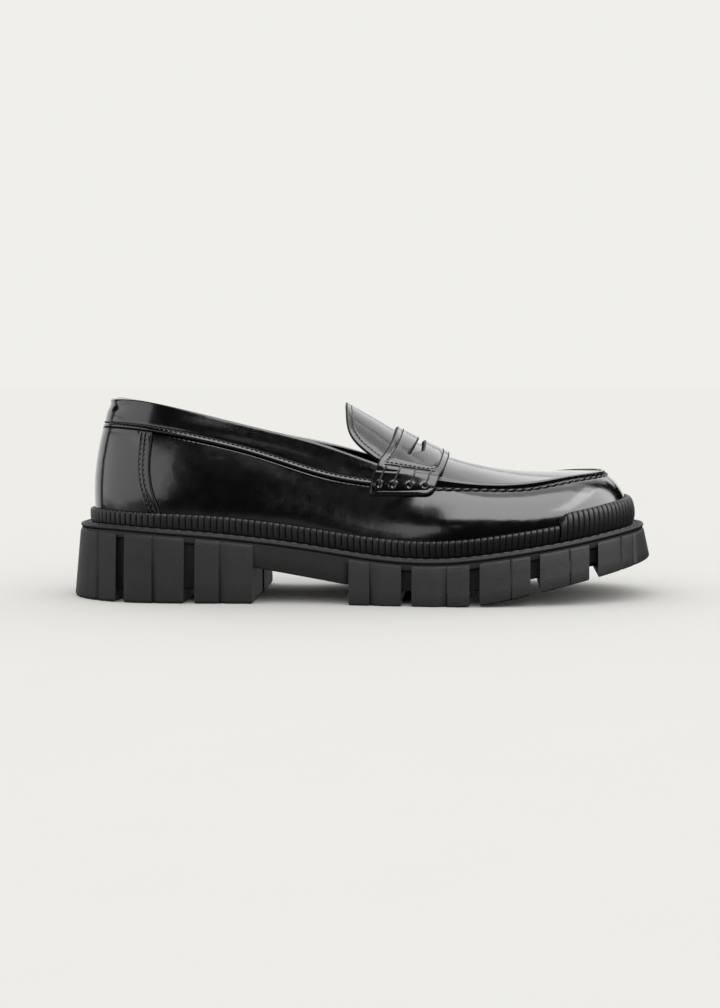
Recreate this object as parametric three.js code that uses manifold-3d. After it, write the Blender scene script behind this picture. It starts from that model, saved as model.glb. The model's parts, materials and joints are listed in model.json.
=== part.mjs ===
// Penny loafer with a lugged rubber sole: the right shoe of a pair, EU size 39.
//
// Frame: millimetres, +X to the toe, +Y to the medial (big toe) side, +Z up. The origin is on the
// ground, in the middle of the shoe's box.
//
// The upper is built on one wall surface. It runs all round the shoe: from the feather line, where
// the upper meets the sole, up to the panel seam, and on up to the edge line, which is the topline of
// the collar at the back and the edge of the apron at the front. The instep is an arch that springs
// from the edge line on both sides. Each piece of leather, lining or rubber is a patch of the wall or
// of the arch, between two offsets from it.

import * as THREE from 'three';
import { mergeVertices } from 'three/addons/utils/BufferGeometryUtils.js';
import Module from 'manifold-3d';

const wasm = await Module();
wasm.setup();

// ---------------------------------------------------------------- driving dimensions, millimetres

const GAP = 0.3; // between neighbouring pieces
const U_PITCH = 1 / 48; // spacing of the wall's stations round the shoe
const V_PITCH = 0.2; // and up the wall
const RING = 48; // stations round the sole's rings
const CENTRE_SHIFT = [-1.35, 0.8]; // moves the middle of the shoe's box to x = 0, y = 0

// Stations round the upper at the feather line, from the back of the heel along the lateral side to
// the toe and back along the medial side. Each holds:
//   x, y: the feather line in plan; seam, seamIn: the panel seam's height, and how far inside the
//   feather line it lies; edge, edgeIn: the same for the edge line; lean: the wall's angle to the
//   ground at the seam, in degrees; bulge: how far the wall's control point stands outside.
const STATIONS = [
  [-130.6, 0, 83.4, 4.0, 98.2, 7.8, 75, 1.8],
  [-125.0, -17, 83.3, 3.6, 98.0, 7.4, 76, 1.8],
  [-109.0, -28.3, 82.4, 2.6, 96.8, 6.6, 78, 2.0],
  [-85.0, -32.0, 78.8, 1.0, 92.4, 3.8, 82, 2.4],
  [-50.0, -33.0, 70.5, 0.2, 83.9, 2.0, 83, 2.6],
  [-15.0, -36.5, 59.9, 0.6, 74.7, 2.6, 81, 3.0],
  [20.0, -42.5, 55.4, 2.6, 62.8, 4.2, 82, 3.6],
  [52.0, -46.0, 54.3, 8.2, 56.9, 9.4, 32, 6.4],
  [80.0, -43.5, 54.1, 9.0, 56.6, 10.2, 28, 6.2],
  [103.5, -36.0, 57.2, 9.6, 59.5, 10.8, 26, 5.0],
  [120.5, -25.0, 59.0, 9.9, 60.9, 11.1, 26, 4.2],
  [130.2, -12.0, 59.6, 10.0, 61.4, 11.2, 27, 3.5],
  [133.3, 3.0, 59.8, 10.0, 61.5, 11.2, 28, 3.2],
  [131.2, 16.5, 59.6, 10.0, 61.4, 11.2, 27, 3.5],
  [122.5, 28.5, 59.1, 9.9, 61.0, 11.1, 26, 4.2],
  [107.0, 38.0, 57.6, 9.6, 59.9, 10.8, 26, 5.0],
  [84.0, 44.0, 55.0, 9.0, 57.5, 10.2, 28, 6.0],
  [56.0, 43.5, 54.9, 8.0, 57.5, 9.2, 32, 5.8],
  [24.0, 36.5, 56.3, 2.6, 63.0, 4.2, 76, 3.4],
  [-10.0, 30.0, 60.0, 0.0, 73.0, 2.2, 76, 3.0],
  [-45.0, 29.5, 68.4, -0.6, 80.3, 2.2, 78, 2.6],
  [-82.0, 31.0, 75.8, 0.6, 88.0, 3.8, 81, 2.2],
  [-108.0, 28.0, 81.4, 2.6, 94.7, 6.2, 79, 2.0],
  [-125.0, 17, 83.3, 3.6, 98.0, 7.4, 76, 1.8],
];
const TOE = 0.5; // where along the wall the toe is: half of the stations; the heel is at 0 and 1

// Height of the sole's top ledge along the shoe: [x, z].
const LEDGE = [
  [-142, 36.4], [-120, 36.6], [-100, 35.4], [-76, 33.6], [-52, 31.2], [-28, 28.2], [-5, 24.8],
  [14, 22.6], [30, 21.9], [46, 22.5], [62, 24.3], [78, 26.5], [96, 29.2], [114, 32.2], [130, 34.8],
  [145, 36.6],
];
// Height of the instep's ridge, from the top of the tongue to the front of the apron: [x, z].
const RIDGE = [
  [-9, 96.8], [0, 91.6], [10, 86.0], [20, 80.2], [30, 74.9], [43, 68.9], [57, 64.8], [72, 62.0],
  [88, 60.8], [104, 60.9], [122, 61.6],
];

const LEATHER = 1.4; // outer leather
const OVERLAY = 1.0; // heel overlay's leather
const STIFFENER = 1.0; // heel counter and toe puff
const LINING = 0.8;
const LINING_IN = 3.3; // the lining's outer face, inside the wall
const COLLAR_FOAM = 1.4;

const HEEL_OVERLAY_X = -99; // front edge of the heel overlay
const BAND_END_X = 13; // the collar band and the piping meet here, under the saddle
const COUNTER_END_X = -70;
const PUFF_START_X = 92;

const RAND_THICK = 2.3;
const RAND_HEIGHT = 8.2;
const RAND_HEEL_HEIGHT = 6.8;
const BUMPER_X = 94.5; // where the toe bumper starts on both sides
const BUMPER_HEIGHT = 13.6;
const BUMPER_THICK = 3.6;

const WELT_THICK = 2.4;
const WELT_OUT = 8.0; // the ledge's edge outside the feather line
const WELT_IN = 5.0; // the welt's inner edge, inside the feather line
const STITCH_OUT = 5.6; // the line of welt stitches

const SOLE_WALL_OUT = 8.0; // sole wall at the waist, outside the feather line
const LUG_TOP_OUT = 8.8;
const LUG_FLARE = 3.2; // how much wider the lugs are at the ground
const BEAD = 3.6; // plain edge of the sole above the lugs
const HEEL_BREAST_X = -48.6; // on the middle line
const BREAST_TURN = -3.5; // degrees: its medial end lies further forward
const FOREPART_X = -5.5;
const TOE_SPRING_X = 55; // the sole leaves the ground here
const TOE_SPRING_SLOPE = 0.215;
const SPRING_BLEND = 14; // length over which the toe spring starts
const NOTCH_DEPTH = 6.6;
const NOTCH_WIDTH = 5.4;
const NOTCH_X = [-113, -78.7, 25.5, 57.7, 86.3, 114.5]; // the tread's channels, on the middle line
const CHANNEL_TURN = -4; // degrees, the same way round
const RECESS_DEPTH = 2.2; // each channel runs up the side wall this deep
const SPINE_CHANNEL = 7; // width of the channel along the middle of the heel and forepart
const CAVITY_IN = 9; // the foam core's pocket, inside the feather line

// The saddle's back and front edges: [place across the shoe, x]. A place is the distance from the
// saddle's middle: level to the edge line, and down from there along each end.
const mirrored = (pairs) => [...pairs, ...pairs.slice(0, -1).reverse().map(([y, x]) => [-y, x])];
const SADDLE = {
  back: mirrored([
    [-50, 5.0], [-44, 6.1], [-40, 7.1], [-36, 8.8], [-33, 11.0], [-29, 13.4], [-22, 16.0], [-10, 18.0], [0, 18.6],
  ]),
  front: mirrored([
    [-50, 32.8], [-44, 33.8], [-40, 35.1], [-36, 36.8], [-32, 38.8], [-26, 40.6], [-14, 42.6], [0, 43.5],
  ]),
  middle: -2.5, // y of its middle
  lift: 0.9, // over the pieces under it
  thick: 1.5,
  bottom: 52.0, // height of its lower edge
};
// The penny slot in plan, one half: [x, y from the saddle's middle], from the middle of its back
// edge round to the front.
const SLOT = [
  [28.2, 0], [28.0, 6.5], [26.6, 14.3], [24.4, 22.9], [21.4, 29.9], [30.8, 21.3], [31.8, 11.5], [32.1, 0],
];

// One half of the tongue's back edge: [share of its width from one side, x].
const TONGUE_BACK_HALF = [
  [0, 8], [0.025, 2.6], [0.06, -2.2], [0.1, -4.6], [0.16, -5.8], [0.3, -6.2], [0.5, -6.3],
];
const TONGUE_BACK = [
  ...TONGUE_BACK_HALF, ...TONGUE_BACK_HALF.slice(0, -1).reverse().map(([share, x]) => [1 - share, x]),
];
const TONGUE_INSET = -2; // inside the edge line
const TONGUE_FRONT_X = 20.0; // under the saddle, behind the slot
const APRON_BACK_X = 20.8;
const BACK_SEAM_SHARE = 0.0006; // half of the back seam's width, as a share of the way round
const THREAD_R = 0.5;

// ---------------------------------------------------------------- curves

// A smooth function through [x, value] pairs.
function through(pairs) {
  const curve = new THREE.SplineCurve(pairs.map(([x, v]) => new THREE.Vector2(x, v)));
  const samples = curve.getPoints(pairs.length * 12);
  return (x) => {
    let i = samples.findIndex((p) => p.x > x);
    if (i === -1) i = samples.length - 1;
    i = Math.max(1, i);
    const [a, b] = [samples[i - 1], samples[i]];
    return a.y + ((b.y - a.y) * (x - a.x)) / (b.x - a.x);
  };
}

const ledge = through(LEDGE);
const ridge = through(RIDGE);
const saddleBack = through(SADDLE.back);
const saddleFront = through(SADDLE.front);
const tongueBack = through(TONGUE_BACK);

// The height of the lugs' ground face at x: flat, then rising to the toe.
function ground(x) {
  const past = x - TOE_SPRING_X;
  if (past < -SPRING_BLEND) return 0;
  if (past > SPRING_BLEND) return TOE_SPRING_SLOPE * past;
  return (TOE_SPRING_SLOPE * (past + SPRING_BLEND) ** 2) / (4 * SPRING_BLEND);
}

// Closed curves that hold two columns of the stations each.
const closedCurve = (a, b) =>
  new THREE.CatmullRomCurve3(
    STATIONS.map((s) => new THREE.Vector3(s[a], s[b], 0)), true, 'catmullrom', 0.5);
const PLAN = closedCurve(0, 1);
const SEAM = closedCurve(2, 3);
const EDGE = closedCurve(4, 5);
const SHAPE = closedCurve(6, 7);
const wrap = (u) => ((u % 1) + 1) % 1;

// The feather line's point and outward direction at u.
function feather(u) {
  const p = PLAN.getPoint(wrap(u));
  const t = PLAN.getTangent(wrap(u));
  return { p, out: new THREE.Vector3(-t.y, t.x, 0).multiplyScalar(-1).normalize() };
}

// The wall's profile at u: points [out, z], v from 0 at the feather line to 1 at the seam and 2 at
// the edge line.
function profile(u, v) {
  const { p } = feather(u);
  const seam = SEAM.getPoint(wrap(u));
  const edge = EDGE.getPoint(wrap(u));
  const shape = SHAPE.getPoint(wrap(u));
  const foot = ledge(p.x) + GAP;
  const rise = seam.x - foot;
  const lean = THREE.MathUtils.degToRad(shape.x);
  const top = new THREE.Vector2(-seam.y, seam.x);
  if (v <= 1) {
    const curve = new THREE.CubicBezierCurve(
      new THREE.Vector2(0, foot),
      new THREE.Vector2(shape.y, foot + 0.36 * rise),
      new THREE.Vector2(top.x + 0.36 * rise * Math.cos(lean), top.y - 0.36 * rise * Math.sin(lean)),
      top);
    return { at: curve.getPoint(Math.max(v, 0)), along: curve.getTangent(Math.max(v, 0.001)) };
  }
  const end = new THREE.Vector2(-edge.y, edge.x);
  return { at: top.clone().lerp(end, v - 1), along: end.clone().sub(top).normalize() };
}

// A point of the wall, moved out from it by off.
function wall(u, v, off = 0) {
  const { p, out } = feather(u);
  const { at, along } = profile(u, v);
  const reach = at.x + off * along.y;
  return new THREE.Vector3(p.x + out.x * reach, p.y + out.y * reach, at.y - off * along.x);
}

// A point of the wall, moved out level with the ground by off.
function wallAside(u, v, off) {
  return wall(u, v).addScaledVector(feather(u).out, off);
}

// The nearest of the wall's stations.
const snap = (u) => Math.round(u / U_PITCH) * U_PITCH;

// The u at which the wall passes x on the lateral (-1) or medial (+1) side.
function uAt(x, side, v = 0, off = 0) {
  let [heel, toe] = side < 0 ? [0, TOE] : [1, TOE];
  for (let i = 0; i < 40; i += 1) {
    const mid = (heel + toe) / 2;
    if (wall(mid, v, off).x < x) heel = mid;
    else toe = mid;
  }
  return (heel + toe) / 2;
}

// The v at which the wall passes height z.
function vAt(u, z) {
  let [low, high] = [0, 2];
  for (let i = 0; i < 30; i += 1) {
    const mid = (low + high) / 2;
    if (wall(u, mid).z < z) low = mid;
    else high = mid;
  }
  return (low + high) / 2;
}

const edgeAt = (x, side, off = 0) => wall(uAt(x, side, 2, off), 2, off);

// The arch over the instep: its height at x, y.
function archOver(x) {
  const a = edgeAt(x, -1);
  const b = edgeAt(x, 1);
  const crown = ridge(x) - (a.z + b.z) / 2;
  return (y) => {
    const share = (y - a.y) / (b.y - a.y);
    return a.z + (b.z - a.z) * share + crown * 4 * share * (1 - share);
  };
}

// The feather line, moved out by off: [lateral y, medial y] at x, and the x of its two ends.
function planAt(off) {
  const at = (u) => {
    const { p, out } = feather(u);
    return p.clone().addScaledVector(out, off);
  };
  const side = (x, toHeel) => {
    let [heel, toe] = [toHeel, TOE];
    for (let i = 0; i < 40; i += 1) {
      const mid = (heel + toe) / 2;
      if (at(mid).x < x) heel = mid;
      else toe = mid;
    }
    return at((heel + toe) / 2).y;
  };
  return { ends: [at(0).x, at(TOE).x], sides: (x) => [side(x, 0), side(x, 1)], at };
}

// ---------------------------------------------------------------- solids

const range = (n) => Array.from({ length: n }, (_, i) => i);
const steps = (a, b, n) => range(n + 1).map((i) => a + ((b - a) * i) / n);

// a, b and the multiples of pitch between them, so that neighbouring layers share their stations.
function stations(a, b, pitch) {
  const clear = pitch / 4;
  const first = Math.ceil((a + clear) / pitch);
  const last = Math.floor((b - clear) / pitch);
  return [a, ...range(Math.max(last - first + 1, 0)).map((i) => (first + i) * pitch), b];
}

// Steps from a to b that crowd towards both ends.
const cosSteps = (a, b, n) => steps(0, Math.PI, n).map((t) => a + ((b - a) * (1 - Math.cos(t))) / 2);

// Steps from a to b that crowd towards b.
const sinSteps = (a, b, n) => steps(0, Math.PI / 2, n).map((t) => a + (b - a) * Math.sin(t));

// A closed solid through a row of loops of points. Each loop folds flat: its point k faces its
// point m - 1 - k, so that an end closes with a ladder of faces.
function sweep(loops, ring = false) {
  const m = loops[0].length;
  const positions = loops.flat().flatMap((p) => [p.x, p.y, p.z]);
  const index = [];
  const quad = (a, b, c, d) => index.push(a, b, c, a, c, d);
  range(ring ? loops.length : loops.length - 1).forEach((i) => {
    const next = ((i + 1) % loops.length) * m;
    range(m).forEach((k) => {
      const l = (k + 1) % m;
      quad(i * m + k, i * m + l, next + l, next + k);
    });
  });
  if (!ring) {
    const last = (loops.length - 1) * m;
    range(m / 2 - 1).forEach((k) => {
      quad(k, m - 1 - k, m - 2 - k, k + 1);
      quad(last + k, last + k + 1, last + m - 2 - k, last + m - 1 - k);
    });
  }
  const geometry = new THREE.BufferGeometry();
  geometry.setAttribute('position', new THREE.Float32BufferAttribute(positions, 3));
  geometry.setIndex(index);
  return facingOut(geometry);
}

// Turns the faces round if the solid is inside out.
function facingOut(geometry) {
  const p = geometry.getAttribute('position');
  const index = geometry.getIndex().array;
  const [a, b, c] = [0, 1, 2].map(() => new THREE.Vector3());
  let volume = 0;
  for (let i = 0; i < index.length; i += 3) {
    a.fromBufferAttribute(p, index[i]);
    b.fromBufferAttribute(p, index[i + 1]);
    c.fromBufferAttribute(p, index[i + 2]);
    volume += a.dot(b.cross(c));
  }
  if (volume < 0) {
    for (let i = 0; i < index.length; i += 3) [index[i + 1], index[i + 2]] = [index[i + 2], index[i + 1]];
  }
  geometry.computeVertexNormals();
  return geometry;
}

function toSolid(geometry) {
  const bare = geometry.clone();
  Object.keys(bare.attributes).forEach((name) => name !== 'position' && bare.deleteAttribute(name));
  const merged = mergeVertices(bare, 1e-4);
  return new wasm.Manifold(new wasm.Mesh({
    numProp: 3,
    vertProperties: merged.getAttribute('position').array,
    triVerts: new Uint32Array(merged.getIndex().array),
  }));
}

function toGeometry(solid) {
  const mesh = solid.getMesh();
  const geometry = new THREE.BufferGeometry();
  geometry.setAttribute('position', new THREE.BufferAttribute(mesh.vertProperties, 3));
  geometry.setIndex(new THREE.BufferAttribute(mesh.triVerts, 1));
  geometry.computeVertexNormals();
  return geometry;
}

// A patch of the wall from u0 to u1, between offsets inner and outer, with v from low to high.
function wallPatch({ u0, u1, low, high, outer, inner }) {
  const vs = stations(low, high, V_PITCH);
  return sweep(stations(u0, u1, U_PITCH).map((u) => {
    const face = (off) => vs.map((v) => wall(u, v, off));
    return [...face(outer), ...face(inner).reverse()];
  }));
}

// A flat layer of the sole: the feather line moved out by off, between heights top(x) and bottom(x).
function layer({ off, top, bottom, n, from = -Infinity, to = Infinity }) {
  const { ends, sides } = planAt(off);
  const tip = 0.4;
  const a = Math.max(ends[0] + tip, from);
  const b = Math.min(ends[1] - tip, to);
  return sweep(cosSteps(a, b, n).map((x) => {
    const [lateral, medial] = sides(x);
    return [
      new THREE.Vector3(x, lateral, top(x)), new THREE.Vector3(x, medial, top(x)),
      new THREE.Vector3(x, medial, bottom(x)), new THREE.Vector3(x, lateral, bottom(x)),
    ];
  }));
}

// A ring on the sole's ledge between two offsets of the feather line.
function ledgeRing({ inner, outer, top, bottom, n }) {
  return sweep(range(n).map((i) => {
    const u = i / n;
    const corner = (off, height) => {
      const p = planAt(off).at(u);
      return new THREE.Vector3(p.x, p.y, ledge(p.x) + height);
    };
    return [corner(outer, top), corner(inner, top), corner(inner, bottom), corner(outer, bottom)];
  }), true);
}

// A thread of radius r along points, with a square section.
function thread(points, r) {
  const path = new THREE.CatmullRomCurve3(points, false, 'centripetal');
  const sides = 4;
  const n = points.length;
  const frames = path.computeFrenetFrames(n, false);
  return sweep(range(n + 1).map((i) => range(sides).map((k) => {
    const angle = (2 * Math.PI * (k + 0.5)) / sides;
    return path.getPointAt(i / n)
      .addScaledVector(frames.normals[i], r * Math.cos(angle))
      .addScaledVector(frames.binormals[i], r * Math.sin(angle));
  })));
}

// A patch of the arch through the places xs, from its lateral to its medial edge, between the
// heights under and over it.
function archPatch({ xs, lateral, medial, ny, over, under }) {
  return sweep(xs.map((x) => {
    const height = archOver(x);
    const ys = steps(lateral(x), medial(x), ny);
    const face = (lift) => ys.map((y) => new THREE.Vector3(x, y, height(y) + lift));
    return [...face(over), ...face(under).reverse()];
  }));
}

// ---------------------------------------------------------------- materials

const material = (color, roughness, metalness = 0) =>
  new THREE.MeshStandardMaterial({ color, roughness, metalness });
const MATERIALS = {
  polished_leather: material(0x0b0b0c, 0.12),
  lining_leather: material(0x1a1918, 0.6),
  sole_rubber: material(0x232324, 0.62),
  thread: material(0x151515, 0.5),
  foam: material(0x3a3a3c, 0.9),
  board: material(0x8a7358, 0.85),
  shank_steel: material(0x9a9ca0, 0.35, 1),
};

const shoe = new THREE.Group();

function add(name, geometry, materialName) {
  const mesh = new THREE.Mesh(geometry, MATERIALS[materialName]);
  mesh.name = name;
  shoe.add(mesh);
}

// ---------------------------------------------------------------- the upper

const BAND_U = [uAt(BAND_END_X, 1, 1), 1 + uAt(BAND_END_X, -1, 1)];
const PIPING_U = [uAt(BAND_END_X + 1, -1, 1), uAt(BAND_END_X + 1, 1, 1)];

function addUpper() {
  add('vamp_quarter', wallPatch({
    u0: BACK_SEAM_SHARE, u1: 1 - BACK_SEAM_SHARE, low: 0, high: 0.985, outer: 0, inner: -LEATHER,
  }), 'polished_leather');

  const overlay = [uAt(HEEL_OVERLAY_X, 1, 0.5), 1 + uAt(HEEL_OVERLAY_X, -1, 0.5)];
  add('heel_overlay', wallPatch({
    u0: overlay[0], u1: overlay[1], low: 0, high: 0.96,
    outer: GAP + OVERLAY, inner: GAP,
  }), 'polished_leather');

  add('collar_band', wallPatch({
    u0: BAND_U[0], u1: BAND_U[1], low: 1.04, high: 2, outer: GAP, inner: GAP - LEATHER,
  }), 'polished_leather');

  add('collar_foam', wallPatch({
    u0: BAND_U[0], u1: BAND_U[1], low: 1.08, high: 1.9,
    outer: -LEATHER, inner: -LEATHER - COLLAR_FOAM,
  }), 'foam');

  add('moc_piping', wallPatch({
    u0: PIPING_U[0], u1: PIPING_U[1], low: 1.06, high: 2, outer: GAP, inner: GAP - LEATHER,
  }), 'polished_leather');

  add('heel_counter', wallPatch({
    u0: snap(uAt(COUNTER_END_X, 1)), u1: 1 + snap(uAt(COUNTER_END_X, -1)), low: 0.05, high: 0.9,
    outer: -LEATHER - 2 * GAP, inner: -LEATHER - 2 * GAP - STIFFENER,
  }), 'board');

  add('toe_puff', wallPatch({
    u0: snap(uAt(PUFF_START_X, -1)), u1: snap(uAt(PUFF_START_X, 1)), low: 0.1, high: 0.9,
    outer: -LEATHER - 2 * GAP, inner: -LEATHER - 2 * GAP - STIFFENER,
  }), 'board');

  add('quarter_lining', wallPatch({
    u0: BAND_U[0], u1: BAND_U[1], low: 0.2, high: 1.96,
    outer: -LINING_IN, inner: -LINING_IN - LINING,
  }), 'lining_leather');

  add('vamp_lining', wallPatch({
    u0: PIPING_U[0], u1: PIPING_U[1], low: 0.2, high: 0.94,
    outer: -LINING_IN, inner: -LINING_IN - LINING,
  }), 'lining_leather');
}

function addApron() {
  const inset = -LEATHER - GAP; // clear of the piping
  const front = wall(TOE, 2, inset).x - 0.6;
  add('apron', archPatch({
    xs: sinSteps(APRON_BACK_X, front, 18), ny: 8, over: 0, under: -LEATHER,
    lateral: (x) => edgeAt(x, -1, inset).y, medial: (x) => edgeAt(x, 1, inset).y,
  }), 'polished_leather');

  const liningInset = -LINING_IN - LINING - 1.4; // clear of the vamp lining
  const liningFront = wall(TOE, 2, liningInset).x - 0.6;
  add('apron_lining', archPatch({
    xs: sinSteps(APRON_BACK_X, liningFront, 14), ny: 8,
    over: -LEATHER - 2 * GAP, under: -LEATHER - 2 * GAP - LINING,
    lateral: (x) => edgeAt(x, -1, liningInset).y, medial: (x) => edgeAt(x, 1, liningInset).y,
  }), 'lining_leather');
}

// The tongue's loops run across the shoe, each from the tongue's back edge forward.
function tongueLayer(over, under, shrink) {
  const lateral = (x) => edgeAt(x, -1, TONGUE_INSET).y + shrink;
  const medial = (x) => edgeAt(x, 1, TONGUE_INSET).y - shrink;
  return sweep(steps(0, 1, 18).map((share) => {
    const xs = steps(tongueBack(share) + shrink, TONGUE_FRONT_X, 4);
    const face = (lift) => xs.map((x) => {
      const y = THREE.MathUtils.lerp(lateral(x), medial(x), share);
      return new THREE.Vector3(x, y, archOver(x)(y) + lift);
    });
    return [...face(over), ...face(under).reverse()];
  }));
}

function addTongue() {
  add('tongue', tongueLayer(0, -LEATHER, 0), 'polished_leather');
  add('tongue_lining', tongueLayer(-LEATHER - GAP, -LEATHER - GAP - LINING, 0.8), 'lining_leather');
}

// ---------------------------------------------------------------- the saddle

// The line over which the saddle lies, for a share f of its width from back to front: from its
// lateral lower edge up the wall, over the instep and down to its medial lower edge.
function saddleLine(f) {
  const xAt = (place) => THREE.MathUtils.lerp(saddleBack(place), saddleFront(place), f);
  const rootX = (side) => xAt(side * 34.6);
  const climb = (side) => {
    const root = edgeAt(rootX(side), side);
    return steps(SADDLE.bottom, root.z, 6).map((z) => {
      const x = xAt(side * (Math.abs(root.y - SADDLE.middle) + root.z - z));
      const u = uAt(x, side, vAt(uAt(x, side, 1.5), z));
      return wall(u, vAt(u, z), SADDLE.lift + (z === root.z ? GAP : 0));
    });
  };
  const lateral = climb(-1);
  const medial = climb(1).reverse();
  const across = steps(0.06, 0.94, 16).map((share) => {
    const y = THREE.MathUtils.lerp(edgeAt(rootX(-1), -1).y, edgeAt(rootX(1), 1).y, share);
    const x = xAt(y - SADDLE.middle);
    return new THREE.Vector3(x, y, archOver(x)(y) + SADDLE.lift);
  });
  return [...lateral, ...across, ...medial];
}

// The saddle's two faces at share f: its line, and the line moved out by its thickness.
function saddleFaces(f, thick = SADDLE.thick) {
  const line = saddleLine(f);
  const outer = line.map((p, i) => {
    const before = line[Math.max(i - 1, 0)];
    const after = line[Math.min(i + 1, line.length - 1)];
    const n = new THREE.Vector3(0, -(after.z - before.z), after.y - before.y).normalize();
    return p.clone().addScaledVector(n, thick);
  });
  return { line, outer };
}

function addSaddle() {
  const across = steps(0, 1, 5).map((f) => saddleFaces(f));
  const strap = toSolid(sweep(range(across[0].line.length).map((i) => [
    ...across.map((c) => c.outer[i]), ...across.map((c) => c.line[i]).reverse(),
  ])));
  const half = SLOT.map(([x, y]) => new THREE.Vector2(x, SADDLE.middle + y));
  const otherHalf = SLOT.slice(1, -1).reverse().map(([x, y]) => new THREE.Vector2(x, SADDLE.middle - y));
  const outline = new THREE.Shape([...half, ...otherHalf]);
  const cutter = new THREE.ExtrudeGeometry(outline, { depth: 60, bevelEnabled: false });
  cutter.translate(0, 0, 50);
  add('saddle_strap', toGeometry(strap.subtract(toSolid(cutter))), 'polished_leather');

  // Each end of the saddle is held by four long whip stitches, one thread that goes up and down.
  const lift = SADDLE.thick + THREAD_R + GAP;
  [['lateral', 0], ['medial', 1]].forEach(([name, end]) => {
    const pointOn = (f, i) => {
      const line = saddleFaces(f, lift).outer;
      return line[end ? line.length - 1 - i : i];
    };
    const points = range(4).flatMap((k) => {
      const stitch = steps(1, 7, 6).map((i) => pointOn(0.15 + 0.22 * k + 0.01 * i, i));
      return k % 2 ? stitch.reverse() : stitch;
    });
    add(`saddle_lacing_${name}`, thread(points, THREAD_R), 'thread');
  });
}

function addThreads() {
  const along = (from, to, n, v, off) => steps(from, to, n).map((u) => wall(u, v, off));
  const lift = GAP + THREAD_R + 0.15;
  add('moc_seam_thread', thread(
    along(uAt(42, -1, 1), uAt(42, 1, 1), 40, 0.985, lift + 0.2), THREAD_R), 'thread');
  add('collar_thread', thread(
    along(uAt(1, 1, 1), 1 + uAt(1, -1, 1), 36, 1.2, lift + 0.2), THREAD_R), 'thread');
  [['lateral', -1], ['medial', 1]].forEach(([name, side]) => {
    const u = uAt(HEEL_OVERLAY_X - 4, side, 0.5);
    const points = steps(0.34, 0.93, 8).map((v) => wall(wrap(u), v, OVERLAY + lift + 0.1));
    add(`overlay_thread_${name}`, thread(points, THREAD_R), 'thread');
  });
}

// ---------------------------------------------------------------- the sole

// The rand's height, which falls towards the heel.
function randHeight(x) {
  const towardsHeel = THREE.MathUtils.smoothstep(-x, 60, 120);
  return THREE.MathUtils.lerp(RAND_HEIGHT, RAND_HEEL_HEIGHT, towardsHeel);
}

// An upright rubber strip on the wall's foot. Its inner face lies inner(u) outside the wall.
function rubberStrip({ u0, u1, height, thick, inner, rows }) {
  return sweep(stations(u0, u1, U_PITCH).map((u) => {
    const off = inner(u);
    const [inX, outX] = [wallAside(u, 0, off).x, wallAside(u, 0, off + thick).x];
    const foot = Math.max(ledge(inX), ledge(outX)) + 2 * GAP;
    const heights = steps(foot, foot + height(wall(u, 0).x), rows);
    const face = (out) => heights.map((z) => wallAside(u, vAt(u, z), out).setZ(z));
    return [...face(off + thick), ...face(off).reverse()];
  }));
}

function addRand() {
  const overHeel = (u) => (wall(u, 0).x < HEEL_OVERLAY_X + 16 ? GAP + OVERLAY + GAP : GAP) + 0.1;
  add('rand', rubberStrip({
    u0: uAt(BUMPER_X - 0.4, 1), u1: 1 + uAt(BUMPER_X - 0.4, -1),
    height: randHeight, thick: RAND_THICK, inner: overHeel, rows: 2,
  }), 'sole_rubber');
  add('toe_bumper', rubberStrip({
    u0: uAt(BUMPER_X, -1), u1: uAt(BUMPER_X, 1),
    height: () => BUMPER_HEIGHT, thick: BUMPER_THICK, inner: () => GAP + 0.1, rows: 4,
  }), 'sole_rubber');
}

function addWelt() {
  const groove = 0.7;
  const ring = toSolid(ledgeRing({
    inner: -WELT_IN, outer: WELT_OUT, top: 0, bottom: -WELT_THICK, n: RING,
  }));
  const cut = toSolid(ledgeRing({
    inner: STITCH_OUT - groove, outer: STITCH_OUT + groove, top: 1, bottom: -groove, n: RING,
  }));
  add('welt', toGeometry(ring.subtract(cut)), 'sole_rubber');

  const { at } = planAt(STITCH_OUT);
  const points = range(RING).map((i) => {
    const p = at(i / RING);
    return new THREE.Vector3(p.x, p.y, ledge(p.x) - groove + GAP + 0.4);
  });
  const section = 0.32;
  add('welt_thread', sweep(points.map((p, i) => {
    const next = points[(i + 1) % RING];
    const before = points[(i + RING - 1) % RING];
    const side = new THREE.Vector3(next.y - before.y, before.x - next.x, 0).setLength(section);
    const up = new THREE.Vector3(0, 0, section);
    return [
      p.clone().add(side).add(up), p.clone().sub(side).add(up),
      p.clone().sub(side).sub(up), p.clone().add(side).sub(up),
    ];
  }), true), 'thread');
}

// A solid from the side view: the area between bottom(x) and top(x), as wide as the shoe.
function sideSolid(x0, x1, n, bottom, top) {
  const wide = 80;
  return toSolid(sweep(steps(x0, x1, n).map((x) => [
    new THREE.Vector3(x, -wide, top(x)), new THREE.Vector3(x, wide, top(x)),
    new THREE.Vector3(x, wide, bottom(x)), new THREE.Vector3(x, -wide, bottom(x)),
  ])));
}

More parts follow.
